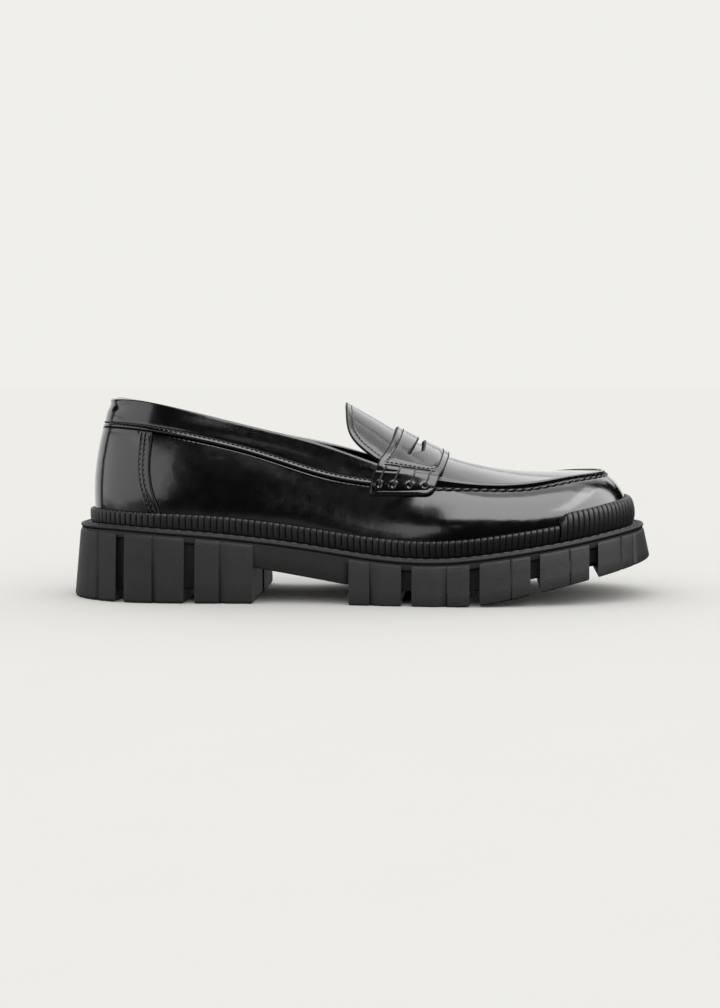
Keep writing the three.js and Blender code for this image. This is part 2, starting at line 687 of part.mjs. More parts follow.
// A solid round the feather line: moved out by foot up to the lugs' lower part, narrowing to head.
function flared(foot, head) {
  const ring = (off, height) => {
    const { at } = planAt(off);
    return range(RING).map((i) => at(i / RING)).map((p) => new THREE.Vector3(p.x, p.y, height(p.x)));
  };
  const loops = [ring(foot, () => -2), ring(foot, (x) => ground(x) + 4), ring(head, () => 42)];
  const positions = loops.flat().flatMap((p) => [p.x, p.y, p.z]);
  const index = [];
  range(2).forEach((k) => range(RING).forEach((i) => {
    const j = (i + 1) % RING;
    const [a, b, c, d] = [k * RING + i, k * RING + j, (k + 1) * RING + j, (k + 1) * RING + i];
    index.push(a, b, c, a, c, d);
  }));
  const cap = (loop) => THREE.ShapeUtils.triangulateShape(loop.map((p) => new THREE.Vector2(p.x, p.y)), []);
  cap(loops[0]).forEach(([a, b, c]) => index.push(a, c, b));
  cap(loops[2]).forEach(([a, b, c]) => index.push(2 * RING + a, 2 * RING + b, 2 * RING + c));
  const geometry = new THREE.BufferGeometry();
  geometry.setAttribute('position', new THREE.Float32BufferAttribute(positions, 3));
  geometry.setIndex(index);
  return toSolid(facingOut(geometry));
}

const soleTop = (x) => ledge(x) - WELT_THICK - GAP;
const lugTop = (x) => ledge(x) - WELT_THICK - BEAD;
const SHANK_FROM_X = -58; // the waist's thin part reaches into the heel block
const shankFloor = (x) => THREE.MathUtils.mapLinear(x, SHANK_FROM_X, FOREPART_X, 18.2, 9.2);
const bodyFloor = (x) => {
  if (x < SHANK_FROM_X) return NOTCH_DEPTH;
  if (x > FOREPART_X) return Math.max(ground(x) + NOTCH_DEPTH, NOTCH_DEPTH);
  return shankFloor(x);
};

// A box turned about Z, as a solid.
function block(x, y, z, [length, width, height], turn = 0) {
  const box = new THREE.BoxGeometry(length, width, height).toNonIndexed();
  box.rotateZ(THREE.MathUtils.degToRad(turn));
  box.translate(x, y, z);
  return toSolid(box);
}

function addOutsole() {
  const ends = [planAt(LUG_TOP_OUT).ends[0] - 6, planAt(LUG_TOP_OUT).ends[1] + 6];
  const slab = flared(SOLE_WALL_OUT, SOLE_WALL_OUT)
    .intersect(sideSolid(ends[0], ends[1], 40, bodyFloor, soleTop));
  const wide = flared(LUG_TOP_OUT + LUG_FLARE, LUG_TOP_OUT - 1);
  const reach = 30;
  const beyondHeel = block(HEEL_BREAST_X + reach, 0, 0, [2 * reach, 160, 80], BREAST_TURN);
  const heelLugs = wide.intersect(sideSolid(ends[0], HEEL_BREAST_X + 10, 10, () => 0, lugTop))
    .subtract(beyondHeel);
  const foreLugs = wide.intersect(sideSolid(FOREPART_X, ends[1], 26, ground, lugTop));
  let sole = slab.add(heelLugs).add(foreLugs);

  // The transverse channels, each with the recess that runs up both side walls.
  const core = flared(SOLE_WALL_OUT - RECESS_DEPTH, SOLE_WALL_OUT - RECESS_DEPTH);
  NOTCH_X.forEach((x) => {
    const full = block(x, 0, ground(x) - 10 + NOTCH_DEPTH, [NOTCH_WIDTH, 140, 20], CHANNEL_TURN);
    const tall = block(x, 0, lugTop(x) - 19, [NOTCH_WIDTH, 140, 36], CHANNEL_TURN);
    sole = sole.subtract(full).subtract(tall.subtract(core));
  });
  // The channel along the middle, open to the heel breast and to the waist.
  sole = sole.subtract(block(-80, 0, -10 + NOTCH_DEPTH * 0.8, [64, SPINE_CHANNEL, 20]));
  sole = sole.subtract(block(30, 0, -10 + NOTCH_DEPTH * 0.8, [78, SPINE_CHANNEL, 20]));
  // The pocket for the foam core.
  const pocket = toSolid(layer({
    off: -CAVITY_IN, top: (x) => soleTop(x) + 5, bottom: coreFloor, n: 30, from: -116, to: 112,
  }));
  add('outsole', toGeometry(sole.subtract(pocket)), 'sole_rubber');
}

const coreFloor = (x) => THREE.MathUtils.lerp(bodyFloor(x), soleTop(x), 0.3) + 1;

function addInsoles() {
  const boardTop = (x) => ledge(x) - GAP;
  const boardBottom = (x) => ledge(x) - 2.0;
  const pocketTop = (x) => soleTop(x) - GAP;
  const shankLow = (x) => pocketTop(x) - 1.4;

  const core = toSolid(layer({
    off: -CAVITY_IN - GAP, top: pocketTop, bottom: (x) => coreFloor(x) + GAP, n: 30,
    from: -115.6, to: 111.6,
  }));
  const shankBed = toSolid(layer({
    off: -CAVITY_IN - 14, top: (x) => pocketTop(x) + 3, bottom: (x) => shankLow(x) - GAP, n: 10,
    from: -92, to: 20,
  }));
  add('foam_core', toGeometry(core.subtract(shankBed)), 'foam');

  const shankHalf = 6;
  add('shank', sweep(steps(-90, 18, 12).map((x) => [
    new THREE.Vector3(x, -shankHalf, pocketTop(x)), new THREE.Vector3(x, shankHalf, pocketTop(x)),
    new THREE.Vector3(x, shankHalf, shankLow(x)), new THREE.Vector3(x, -shankHalf, shankLow(x)),
  ])), 'shank_steel');

  add('insole_board', layer({
    off: -WELT_IN - 3 * GAP, top: boardTop, bottom: boardBottom, n: 28,
  }), 'board');
  add('footbed_foam', layer({
    off: -5.2, top: (x) => ledge(x) + 3.0, bottom: (x) => ledge(x) + GAP, n: 28,
  }), 'foam');
  add('sock_liner', layer({
    off: -5.2, top: (x) => ledge(x) + 4.3, bottom: (x) => ledge(x) + 3.3, n: 28,
  }), 'lining_leather');
}

addUpper();
addApron();
addTongue();
addSaddle();
addThreads();
addRand();
addWelt();
addOutsole();
addInsoles();
shoe.position.set(CENTRE_SHIFT[0], CENTRE_SHIFT[1], 0);

export default shoe;
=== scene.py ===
"""The looks of a penny loafer with a lugged sole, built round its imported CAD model.

Lengths are in millimetres until a mesh is made. X runs to the toe, Y to the medial (big toe) side
and Z up. The leather pieces are patches of one wall surface and of the arch over the instep, as in
the CAD source, with finer meshes, rolled edges, grooves and stitches.
"""

import json
import math

import bmesh
import bpy
import numpy as np
from mathutils import Matrix, Vector
from mathutils.geometry import delaunay_2d_cdt


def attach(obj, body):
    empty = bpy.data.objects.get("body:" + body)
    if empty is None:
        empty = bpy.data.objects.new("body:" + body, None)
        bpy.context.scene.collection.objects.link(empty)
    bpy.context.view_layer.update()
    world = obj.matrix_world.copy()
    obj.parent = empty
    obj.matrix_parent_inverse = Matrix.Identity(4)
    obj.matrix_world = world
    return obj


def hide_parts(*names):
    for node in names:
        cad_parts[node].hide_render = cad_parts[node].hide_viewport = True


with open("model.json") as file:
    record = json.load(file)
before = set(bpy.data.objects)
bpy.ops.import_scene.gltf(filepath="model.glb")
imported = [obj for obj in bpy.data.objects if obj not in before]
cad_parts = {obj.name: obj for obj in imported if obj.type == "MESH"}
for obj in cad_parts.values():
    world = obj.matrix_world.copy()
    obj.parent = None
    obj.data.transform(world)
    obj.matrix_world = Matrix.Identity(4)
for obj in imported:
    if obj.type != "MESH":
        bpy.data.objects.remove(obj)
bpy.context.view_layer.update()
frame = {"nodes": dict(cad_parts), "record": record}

# ------------------------------------------------------------------ driving dimensions, millimetres

GAP = 0.3  # between the sole's ledge and the foot of the upper
CENTRE_SHIFT = (-1.35, 0.8, 0.0)  # from the measuring frame to the row's frame

# Stations round the upper at the feather line, from the back of the heel along the lateral side to
# the toe and back. Each holds: x, y of the feather line; the panel seam's height and how far inside
# the feather line it lies; the same two of the edge line (the topline, and the apron's edge); the
# wall's angle to the ground at the seam; and how far its control point stands outside.
def mirrored(pairs):
    """(y, x) pairs of one half and the middle, followed by the other half's."""
    return [*pairs, *[(-y, x) for y, x in pairs[-2::-1]]]


STATIONS = [
    (-130.6, 0, 83.4, 4.0, 98.2, 7.8, 75, 1.8),
    (-125.0, -17, 83.3, 3.6, 98.0, 7.4, 76, 1.8),
    (-109.0, -28.3, 82.4, 2.6, 96.8, 6.6, 78, 2.0),
    (-85.0, -32.0, 78.8, 1.0, 92.4, 3.8, 82, 2.4),
    (-50.0, -33.0, 70.5, 0.2, 83.9, 2.0, 83, 2.6),
    (-15.0, -36.5, 59.9, 0.6, 74.7, 2.6, 81, 3.0),
    (20.0, -42.5, 55.4, 2.6, 62.8, 4.2, 82, 3.6),
    (52.0, -46.0, 54.3, 8.2, 56.9, 9.4, 32, 6.4),
    (80.0, -43.5, 54.1, 9.0, 56.6, 10.2, 28, 6.2),
    (103.5, -36.0, 57.2, 9.6, 59.5, 10.8, 26, 5.0),
    (120.5, -25.0, 59.0, 9.9, 60.9, 11.1, 26, 4.2),
    (130.2, -12.0, 59.6, 10.0, 61.4, 11.2, 27, 3.5),
    (133.3, 3.0, 59.8, 10.0, 61.5, 11.2, 28, 3.2),
    (131.2, 16.5, 59.6, 10.0, 61.4, 11.2, 27, 3.5),
    (122.5, 28.5, 59.1, 9.9, 61.0, 11.1, 26, 4.2),
    (107.0, 38.0, 57.6, 9.6, 59.9, 10.8, 26, 5.0),
    (84.0, 44.0, 55.0, 9.0, 57.5, 10.2, 28, 6.0),
    (56.0, 43.5, 54.9, 8.0, 57.5, 9.2, 32, 5.8),
    (24.0, 36.5, 56.3, 2.6, 63.0, 4.2, 76, 3.4),
    (-10.0, 30.0, 60.0, 0.0, 73.0, 2.2, 76, 3.0),
    (-45.0, 29.5, 68.4, -0.6, 80.3, 2.2, 78, 2.6),
    (-82.0, 31.0, 75.8, 0.6, 88.0, 3.8, 81, 2.2),
    (-108.0, 28.0, 81.4, 2.6, 94.7, 6.2, 79, 2.0),
    (-125.0, 17, 83.3, 3.6, 98.0, 7.4, 76, 1.8),
]
TOE = 0.5  # where along the wall the toe is; the heel is at 0

# (x, height) along the sole's ledge, and along the crest of the instep and the forefoot.
LEDGE = [
    (-142, 36.4), (-120, 36.6), (-100, 35.4), (-76, 33.6), (-52, 31.2), (-28, 28.2), (-5, 24.8),
    (14, 22.6), (30, 21.9), (46, 22.5), (62, 24.3), (78, 26.5), (96, 29.2), (114, 32.2),
    (130, 34.8), (145, 36.6),
]
RIDGE = [
    (-9, 96.8), (0, 91.6), (10, 86.0), (20, 80.2), (30, 74.9), (43, 68.9), (57, 64.8), (72, 62.0),
    (88, 60.8), (104, 60.9), (122, 61.6),
]

LEATHER = 1.4
LINING = 0.8
LINING_IN = 3.3  # from the wall's face in to the lining
SOCK_OFF = -5.2  # from the feather line to the sock's edge
SOCK_RISE = 4.3  # from the ledge up to the sock

# The collar band's faces, from the wall, and where its ends lie beside the opening.
BAND_IN = -3.15
BAND_OUT = 1.05
BAND_END_X = 13.0
BAND_FOLD = 7.5  # how far down the inside the band is turned
COLLAR_PITCH = 2.35
MOC_PITCH = 4.3
MOC_SLANT = math.radians(-13)

# Stitches: their pitch and length, the thread's radius, and how far they rise at the middle.
OVERLAY_STITCH = (2.35, 1.7, 0.32, 0.1)
COLLAR_STITCH = (COLLAR_PITCH, 1.65, 0.34, 0.12)
HEM_STITCH = (2.6, 1.9, 0.2, 0.04)
MOC_STITCH = (MOC_PITCH, 4.1, 0.6, 0.3)
APRON_STITCH = (1.8, 1.25, 0.27, 0.12)
TONGUE_STITCH = (2.2, 1.6, 0.22, 0.05)
SOCK_STITCH = (3.0, 2.0, 0.25, 0.1)
SADDLE_STITCH = (2.2, 1.6, 0.3, 0.1)
WELT_STITCH = (5.1, 4.6, 0.42, 0.22)

# The heel overlay's front edge, as (height, x), and its stitch rows' distances from it.
OVERLAY_EDGE = [
    (30, -95.5), (44, -97.2), (50, -99.4), (58, -101.4), (66, -101.9), (76, -101.0), (90, -99.6),
]
OVERLAY_ROWS = (2.4, 4.4)

BUMPER_X = 94.5  # where the rand ends and the toe bumper starts
RAND_HEIGHT = 8.2
RAND_HEEL_HEIGHT = 6.8
RAND_THICK = 2.3
BUMPER_HEIGHT = 13.6
BUMPER_THICK = 3.4
RIB_PITCH = 3.05
RIB_GROOVE = 1.1

STITCH_OUT = 5.7  # from the feather line to the welt's stitches

# The saddle's back and front edges: (place across the shoe, x). A place is the distance from the
# saddle's middle: level to the edge line, and down from there along each end.
SADDLE_BACK = mirrored([
    (-50, 5.0), (-44, 6.1), (-40, 7.1), (-36, 8.8), (-33, 11.0), (-29, 13.4), (-22, 16.0), (-10, 18.0),
    (0, 18.6),
])
SADDLE_FRONT = mirrored([
    (-50, 32.8), (-44, 33.8), (-40, 35.1), (-36, 36.8), (-32, 38.8), (-26, 40.6), (-14, 42.6), (0, 43.5),
])
SADDLE_MIDDLE = -2.5
SADDLE_BOTTOM = 52.0
SADDLE_LIFT = 0.9
SADDLE_THICK = 1.5
PANEL_EDGE = 13.7  # from the saddle's ends to the edge of its upper panel
# The penny slot in plan, one half: (x, y from the saddle's middle).
SLOT = [
    (28.2, 0), (28.0, 6.5), (26.6, 14.3), (24.4, 22.9), (21.4, 29.9), (30.8, 21.3), (31.8, 11.5), (32.1, 0),
]

# The tongue's back edge: (share of the way across, x).
TONGUE_BACK = [
    (0, 8), (0.025, 2.6), (0.06, -2.2), (0.1, -4.6), (0.16, -5.8), (0.3, -6.2), (0.5, -6.3),
    (0.7, -6.2), (0.84, -5.8), (0.9, -4.6), (0.94, -2.2), (0.975, 2.6), (1, 8),
]
TONGUE_INSET = -2.0  # from the edge line to the tongue's sides
TONGUE_FRONT_X = 21.0
APRON_BACK_X = 21.4
APRON_FAN = 26.0  # from the apron's tip back to the end of its middle line

HEEL_BREAST_X = -48.6
BREAST_TURN = -3.5
FOREPART_X = -5.5
TOE_SPRING_X = 55
TOE_SPRING_SLOPE = 0.215
SPRING_BLEND = 14
NOTCH_DEPTH = 6.6
CHANNEL_TURN = -4.0  # degrees, from straight across
NOTCHES = [(-113.0, 4.4), (-78.7, 5.2), (25.5, 5.0), (57.7, 4.8), (86.3, 4.6), (114.5, 4.4)]  # x, width
SPINE_HALF = 3.5  # half the groove between the lateral and the medial lugs
BRIDGE_HALF = 8.0

# How far outside the feather line the sole's parts lie.
LUG_FOOT_OUT = 12.0
LUG_HEAD_OUT = 8.9
CORE_OUT = 6.0
HEAD_OUT = 8.3
SOLE_WAIST_OUT = 8.3
LUG_HEAD_DROP = 3.0  # from the ledge's face to the lugs' heads

# Sunken parts of the lugs' walls: x at the middle of the wall, width, depth, and the side whose edge
# is sharp: -1 towards the heel, 1 towards the toe, 0 for a thin groove.
SIDE_CUTS = [
    (-127.6, 1.0, 1.0, 0), (-117.0, 1.0, 1.1, 0), (-97.6, 4.2, 1.5, -1), (-65.2, 4.2, 1.5, -1),
    (6.6, 4.4, 1.5, -1), (38.4, 4.6, 1.5, 1), (71.0, 1.0, 1.1, 0), (99.6, 1.0, 1.1, 0),
    (126.2, 1.0, 1.1, 0), (133.6, 1.0, 1.0, 0),
]

CAMERA_BACK = 850.0
CAMERA_HEIGHT = 105.0
CAMERA_DOWN = 4.06  # degrees
CAMERA_LENS = 60.71

# ------------------------------------------------------------------ curves


class RoundCurve:
    """A smooth closed curve through rows of numbers. Its parameter u runs from 0 to 1."""

    def __init__(self, rows):
        rows = np.array(rows, float)
        self.count = len(rows)
        turn = 2 * np.pi * np.fft.fftfreq(self.count)
        gain = (4 + 2 * np.cos(turn)) / 6
        self.control = np.fft.ifft(np.fft.fft(rows, axis=0) / gain[:, None], axis=0).real

    def __call__(self, u, slope=False):
        t = np.mod(u, 1.0) * self.count
        first = np.floor(t).astype(int)
        f = (t - first)[..., None]
        if slope:
            weights = (
                -((1 - f) ** 2) / 2,
                (3 * f * f - 4 * f) / 2,
                (-3 * f * f + 2 * f + 1) / 2,
                f * f / 2,
            )
        else:
            weights = (
                (1 - f) ** 3 / 6,
                (3 * f**3 - 6 * f**2 + 4) / 6,
                (-3 * f**3 + 3 * f**2 + 3 * f + 1) / 6,
                f**3 / 6,
            )
        corners = [self.control[(first + k - 1) % self.count] for k in range(4)]
        return sum(w * c for w, c in zip(weights, corners))


def through(pairs):
    """A smooth function through (x, value) pairs, straight beyond its ends."""
    x, y = np.array(pairs, float).T
    n, h = len(x), np.diff(x)
    system, right = np.eye(n), np.zeros(n)
    for i in range(1, n - 1):
        system[i, i - 1 : i + 2] = h[i - 1], 2 * (h[i - 1] + h[i]), h[i]
        right[i] = 6 * ((y[i + 1] - y[i]) / h[i] - (y[i] - y[i - 1]) / h[i - 1])
    bend = np.linalg.solve(system, right)

    def value(at):
        at = np.asarray(at, float)
        i = np.clip(np.searchsorted(x, at) - 1, 0, n - 2)
        a, b = (x[i + 1] - at) / h[i], (at - x[i]) / h[i]
        curved = ((a**3 - a) * bend[i] + (b**3 - b) * bend[i + 1]) * h[i] ** 2 / 6
        return a * y[i] + b * y[i + 1] + np.where((a < 0) | (b < 0), 0, curved)

    return value


def smooth(edge0, edge1, x):
    """From 0 at edge0 to 1 at edge1, level at both."""
    t = np.clip((x - edge0) / (edge1 - edge0), 0, 1)
    return t * t * (3 - 2 * t)


def bell(x, middle, width):
    """A smooth hump that is 1 at its middle."""
    return np.exp(-(((x - middle) / width) ** 2))


def puckers(along, pitch):
    """Waves along a seam, 1 at the middle of each stitch and 0 between two."""
    return 0.5 + 0.5 * np.cos(2 * np.pi * along / pitch)


ROUND = RoundCurve(STATIONS)
ledge = through(LEDGE)
ridge = through(RIDGE)
saddle_back = through(SADDLE_BACK)
saddle_front = through(SADDLE_FRONT)
tongue_back = through(TONGUE_BACK)


def ground(x):
    """Height of the tread at x: flat, then rising to the toe."""
    past = np.asarray(x, float) - TOE_SPRING_X
    blend = TOE_SPRING_SLOPE * (past + SPRING_BLEND) ** 2 / (4 * SPRING_BLEND)
    rising = np.where(past > SPRING_BLEND, TOE_SPRING_SLOPE * past, blend)
    return np.where(past < -SPRING_BLEND, 0.0, rising)


def unit(vectors):
    return vectors / np.maximum(np.linalg.norm(vectors, axis=-1, keepdims=True), 1e-9)


def feather(u):
    """The station's row at u, and the feather line's outward direction in plan."""
    slope = ROUND(u, slope=True)
    out = unit(np.stack([slope[..., 1], -slope[..., 0]], -1))
    return ROUND(u), out


def profile(u, v):
    """The wall's section at u: how far out it is and how high, and its direction."""
    row, out = feather(u)
    foot = ledge(row[..., 0]) + GAP
    rise = row[..., 2] - foot
    lean = np.radians(row[..., 6])
    p0 = np.stack([np.zeros_like(foot), foot], -1)
    p1 = np.stack([row[..., 7], foot + 0.36 * rise], -1)
    p3 = np.stack([-row[..., 3], row[..., 2]], -1)
    p2 = p3 + 0.36 * rise[..., None] * np.stack([np.cos(lean), -np.sin(lean)], -1)
    end = np.stack([-row[..., 5], row[..., 4]], -1)
    t = np.clip(v, 0, 1)[..., None]
    curve = (1 - t) ** 3 * p0 + 3 * t * (1 - t) ** 2 * p1 + 3 * t * t * (1 - t) * p2 + t**3 * p3
    along = (1 - t) ** 2 * (p1 - p0) + 2 * t * (1 - t) * (p2 - p1) + t * t * (p3 - p2)
    above = np.maximum(v - 1, 0)[..., None]
    below = np.minimum(v, 0)[..., None]
    at = curve + above * (end - p3) + 3 * below * (p1 - p0)
    along = np.where(above > 0, end - p3, along)
    return row, out, at, unit(along)


def wall(u, v, off=0.0):
    """Points of the wall, moved out from it by off."""
    u, v, off = (np.asarray(a, float) for a in np.broadcast_arrays(u, v, off))
    row, out, at, along = profile(u, v)
    reach = at[..., 0] + off * along[..., 1]
    return np.stack(
        [
            row[..., 0] + out[..., 0] * reach,
            row[..., 1] + out[..., 1] * reach,
            at[..., 1] - off * along[..., 0],
        ],
        -1,
    )


def wall_aside(u, v, off):
    """Points of the wall, moved out level with the ground by off."""
    u, v, off = (np.asarray(a, float) for a in np.broadcast_arrays(u, v, off))
    place = wall(u, v)
    out = feather(u)[1]
    place[..., 0] += out[..., 0] * off
    place[..., 1] += out[..., 1] * off
    return place


def half_round(side, count):
    """Values of u from the heel to the toe, along the lateral (-1) or the medial (1) side."""
    return np.linspace(0 if side < 0 else 1, TOE, count)


def side_u(x, side, v=0.0, off=0.0):
    """The u at which the wall passes x on one side."""
    u = half_round(side, 1500)
    return np.interp(x, wall(u, v, off)[..., 0], u)


def v_at(u, z):
    """The v at which the wall passes height z, for arrays of u and z."""
    u, z = (np.asarray(a, float) for a in np.broadcast_arrays(u, z))
    low, high = np.full(u.shape, -0.2), np.full(u.shape, 2.0)
    for _ in range(30):
        mid = (low + high) / 2
        under = wall(u, mid)[..., 2] < z
        low, high = np.where(under, mid, low), np.where(under, high, mid)
    return (low + high) / 2


def edge_at(x, side, off=0.0):
    """The point of the edge line at x on one side."""
    return wall(side_u(x, side, 2.0, off), 2.0, off)


def arch_over(x, y):
    """Height of the instep's arch at x, y."""
    lateral, medial = edge_at(x, -1), edge_at(x, 1)
    share = (y - lateral[..., 1]) / (medial[..., 1] - lateral[..., 1])
    level = lateral[..., 2] + (medial[..., 2] - lateral[..., 2]) * share
    crown = ridge(x) - (lateral[..., 2] + medial[..., 2]) / 2
    return level + crown * 4 * share * (1 - share)


def plan_at(u, off):
    """The feather line moved out by off, in plan."""
    row, out = feather(np.asarray(u, float))
    off = np.asarray(off, float)
    return row[..., 0:2] + out * off[..., None]


def side_y(x, off, side):
    """The y of the feather line moved out by off, at x on one side."""
    u = half_round(side, 1500)
    line = plan_at(u, np.full(u.shape, off))
    return np.interp(x, line[:, 0], line[:, 1])


def lengths(points):
    """How far along a row of points each one is."""
    return np.concatenate([[0], np.cumsum(np.linalg.norm(np.diff(points, axis=0), axis=1))])


def paced(points, pitch_or_positions):
    """Positions along a row of points, as fractions of its index, for even steps."""
    along = lengths(points)
    if np.isscalar(pitch_or_positions):
        count = max(int(round(along[-1] / pitch_or_positions)), 1)
        targets = np.linspace(0, along[-1], count + 1)
    else:
        targets = pitch_or_positions
    return np.interp(targets, along, np.arange(len(points)))


def pick(rows, where):
    """Rows of an array at fractional indexes."""
    low = np.clip(np.floor(where).astype(int), 0, len(rows) - 2)
    share = (where - low).reshape((-1,) + (1,) * (np.ndim(rows) - 1))
    return rows[low] * (1 - share) + rows[low + 1] * share


# ------------------------------------------------------------------ meshes


def make(name, points, faces, material, replaces=()):
    """A mesh object from points in millimetres, riding on the shoe."""
    mesh = bpy.data.meshes.new(name)
    places = (np.asarray(points, float).reshape(-1, 3) + CENTRE_SHIFT) * 0.001
    mesh.from_pydata(places.tolist(), [], faces if isinstance(faces, list) else faces.tolist())
    mesh.validate()
    if volume(mesh) < 0:
        mesh.flip_normals()
    mesh.shade_smooth()
    piece = bpy.data.objects.new(name, mesh)
    bpy.context.scene.collection.objects.link(piece)
    mesh.materials.append(material)
    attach(piece, "root")
    if replaces:
        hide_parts(*replaces)
    return piece


def volume(mesh):
    """Six times the mesh's volume, below zero if its faces look inwards."""
    mesh.calc_loop_triangles()
    co = np.empty(len(mesh.vertices) * 3)
    mesh.vertices.foreach_get("co", co)
    tri = np.empty(len(mesh.loop_triangles) * 3, int)
    mesh.loop_triangles.foreach_get("vertices", tri)
    a, b, c = co.reshape(-1, 3)[tri.reshape(-1, 3)].transpose(1, 0, 2)
    return float(np.einsum("ij,ij->", a, np.cross(b, c)))


def grid_faces(rows, columns, start=0, closed=False):
    """Quads of a grid of points, joined end to end if it is closed."""
    i = np.arange(rows if closed else rows - 1)[:, None]
    j = np.arange(columns - 1)[None, :]
    after = (i + 1) % rows
    quads = [i * columns + j, after * columns + j, after * columns + j + 1, i * columns + j + 1]
    quads = [np.broadcast_to(q, (len(i), columns - 1)) for q in quads]
    return np.stack(quads, -1).reshape(-1, 4) + start


def ring_faces(rings, sides, closed=False):
    """Quads between rings of points, each closed on itself; the last joins the first if closed."""
    i = np.arange(rings if closed else rings - 1)[:, None]
    j = np.arange(sides)[None, :]
    after, around = (i + 1) % rings, (j + 1) % sides
    quads = [i * sides + j, after * sides + j, after * sides + around, i * sides + around]
    return np.stack([np.broadcast_to(q, (len(i), sides)) for q in quads], -1).reshape(-1, 4)


def tube_faces(rings, sides, start=0):
    """Faces of a tube of rings, with both ends capped."""
    last = start + (rings - 1) * sides
    caps = [list(range(start, start + sides))[::-1], list(range(last, last + sides))]
    return (ring_faces(rings, sides) + start).tolist() + caps


def boundary(rows, columns):
    """The index pairs round a grid's edge, and of the point just inside each."""
    top = [(i, 0) for i in range(rows)]
    right = [(rows - 1, j) for j in range(1, columns)]
    bottom = [(i, columns - 1) for i in range(rows - 2, -1, -1)]
    left = [(0, j) for j in range(columns - 2, 0, -1)]
    ring = np.array(top + right + bottom + left)
    inner = np.stack([np.clip(ring[:, 0], 1, rows - 2), np.clip(ring[:, 1], 1, columns - 2)], 1)
    return ring, inner


def folded_boundary(rows, columns):
    """The same for a grid whose last column is folded together at its middle."""
    left = [(0, j) for j in range(columns)]
    right = [(rows - 1, j) for j in range(columns - 2, -1, -1)]
    top = [(i, 0) for i in range(rows - 2, 0, -1)]
    ring = np.array(left + right + top)
    inner = np.stack([np.clip(ring[:, 0], 1, rows - 2), np.maximum(ring[:, 1], 1)], 1)
    return ring, inner


def rim_rows(outer, inner, away, steps):
    """Rows of points that round the edge from an outer row to an inner row."""
    middle, half = (outer + inner) / 2, (outer - inner) / 2
    radius = np.linalg.norm(half, axis=-1, keepdims=True)
    normal = unit(half)
    away = unit(away - normal * np.sum(away * normal, -1, keepdims=True))
    turns = [math.pi * k / steps for k in range(1, steps)]
    return [middle + radius * (math.cos(a) * normal + math.sin(a) * away) for a in turns]


def shell_parts(outer, inner, closed, folded):
    """Points and faces of a thin closed piece between two grids, with rounded edges."""
    rows, columns = outer.shape[:2]
    size = rows * columns
    points = [outer.reshape(-1, 3), inner.reshape(-1, 3)]
    faces = [
        grid_faces(rows, columns, 0, closed),
        grid_faces(rows, columns, size, closed)[:, ::-1],
    ]
    start = 2 * size
    loops = []
    if closed:
        whole = np.arange(rows)
        for edge, inside in ((0, 1), (columns - 1, columns - 2)):
            ring = np.stack([whole, np.full(rows, edge)], 1)
            loops.append((ring, np.stack([whole, np.full(rows, inside)], 1)))
    else:
        loops.append(folded_boundary(rows, columns) if folded else boundary(rows, columns))
    for ring, within in loops:
        a, b = outer[ring[:, 0], ring[:, 1]], inner[ring[:, 0], ring[:, 1]]
        away = a - outer[within[:, 0], within[:, 1]]
        index = ring[:, 0] * columns + ring[:, 1]
        chain = [index]
        for row in rim_rows(a, b, away, 4):
            points.append(row)
            chain.append(start + np.arange(len(ring)))
            start += len(ring)
        chain.append(index + size)
        for low, high in zip(chain, chain[1:]):
            after_low, after_high = np.roll(low, -1), np.roll(high, -1)
            faces.append(np.stack([low, high, after_high, after_low], 1))
    return np.concatenate(points), np.concatenate(faces)


def cut_edge(piece, first_face):
    """Gives the faces round a leather piece's rim the look of cut leather."""
    piece.data.materials.append(EDGE_MAT)
    index = np.zeros(len(piece.data.polygons), np.int32)
    index[first_face:] = 1
    piece.data.polygons.foreach_set("material_index", index)


def shell(name, outer, inner, material, replaces, closed=False, cut=False, folded=False):
    """A thin piece between two grids of points. closed joins the first row to the last; folded
    joins the halves of the last column; cut gives the rim the look of cut leather."""
    points, faces = shell_parts(outer, inner, closed, folded)
    piece = make(name, points, faces, material, replaces)
    if folded:
        weld(piece)
    if cut:
        rows, columns = outer.shape[:2]
        cut_edge(piece, 2 * (rows - 1) * (columns - 1))
    face_out(piece)
    return piece


def weld(piece):
    """Joins the points that lie on each other."""
    work = bmesh.new()
    work.from_mesh(piece.data)
    bmesh.ops.remove_doubles(work, verts=work.verts, dist=1e-6)
    work.to_mesh(piece.data)
    work.free()


def face_out(piece):
    """Turns every face of a closed piece outwards."""
    work = bmesh.new()
    work.from_mesh(piece.data)
    bmesh.ops.recalc_face_normals(work, faces=work.faces)
    work.to_mesh(piece.data)
    work.free()
    if volume(piece.data) < 0:
        piece.data.flip_normals()


def sweep(name, loops, material, replaces=(), closed=False):
    """A closed piece through loops of points, shaped (loop, point, 3). Its ends are capped."""
    rows, columns = loops.shape[:2]
    faces = ring_faces(rows, columns, True) if closed else tube_faces(rows, columns)
    return make(name, loops, faces, material, replaces)


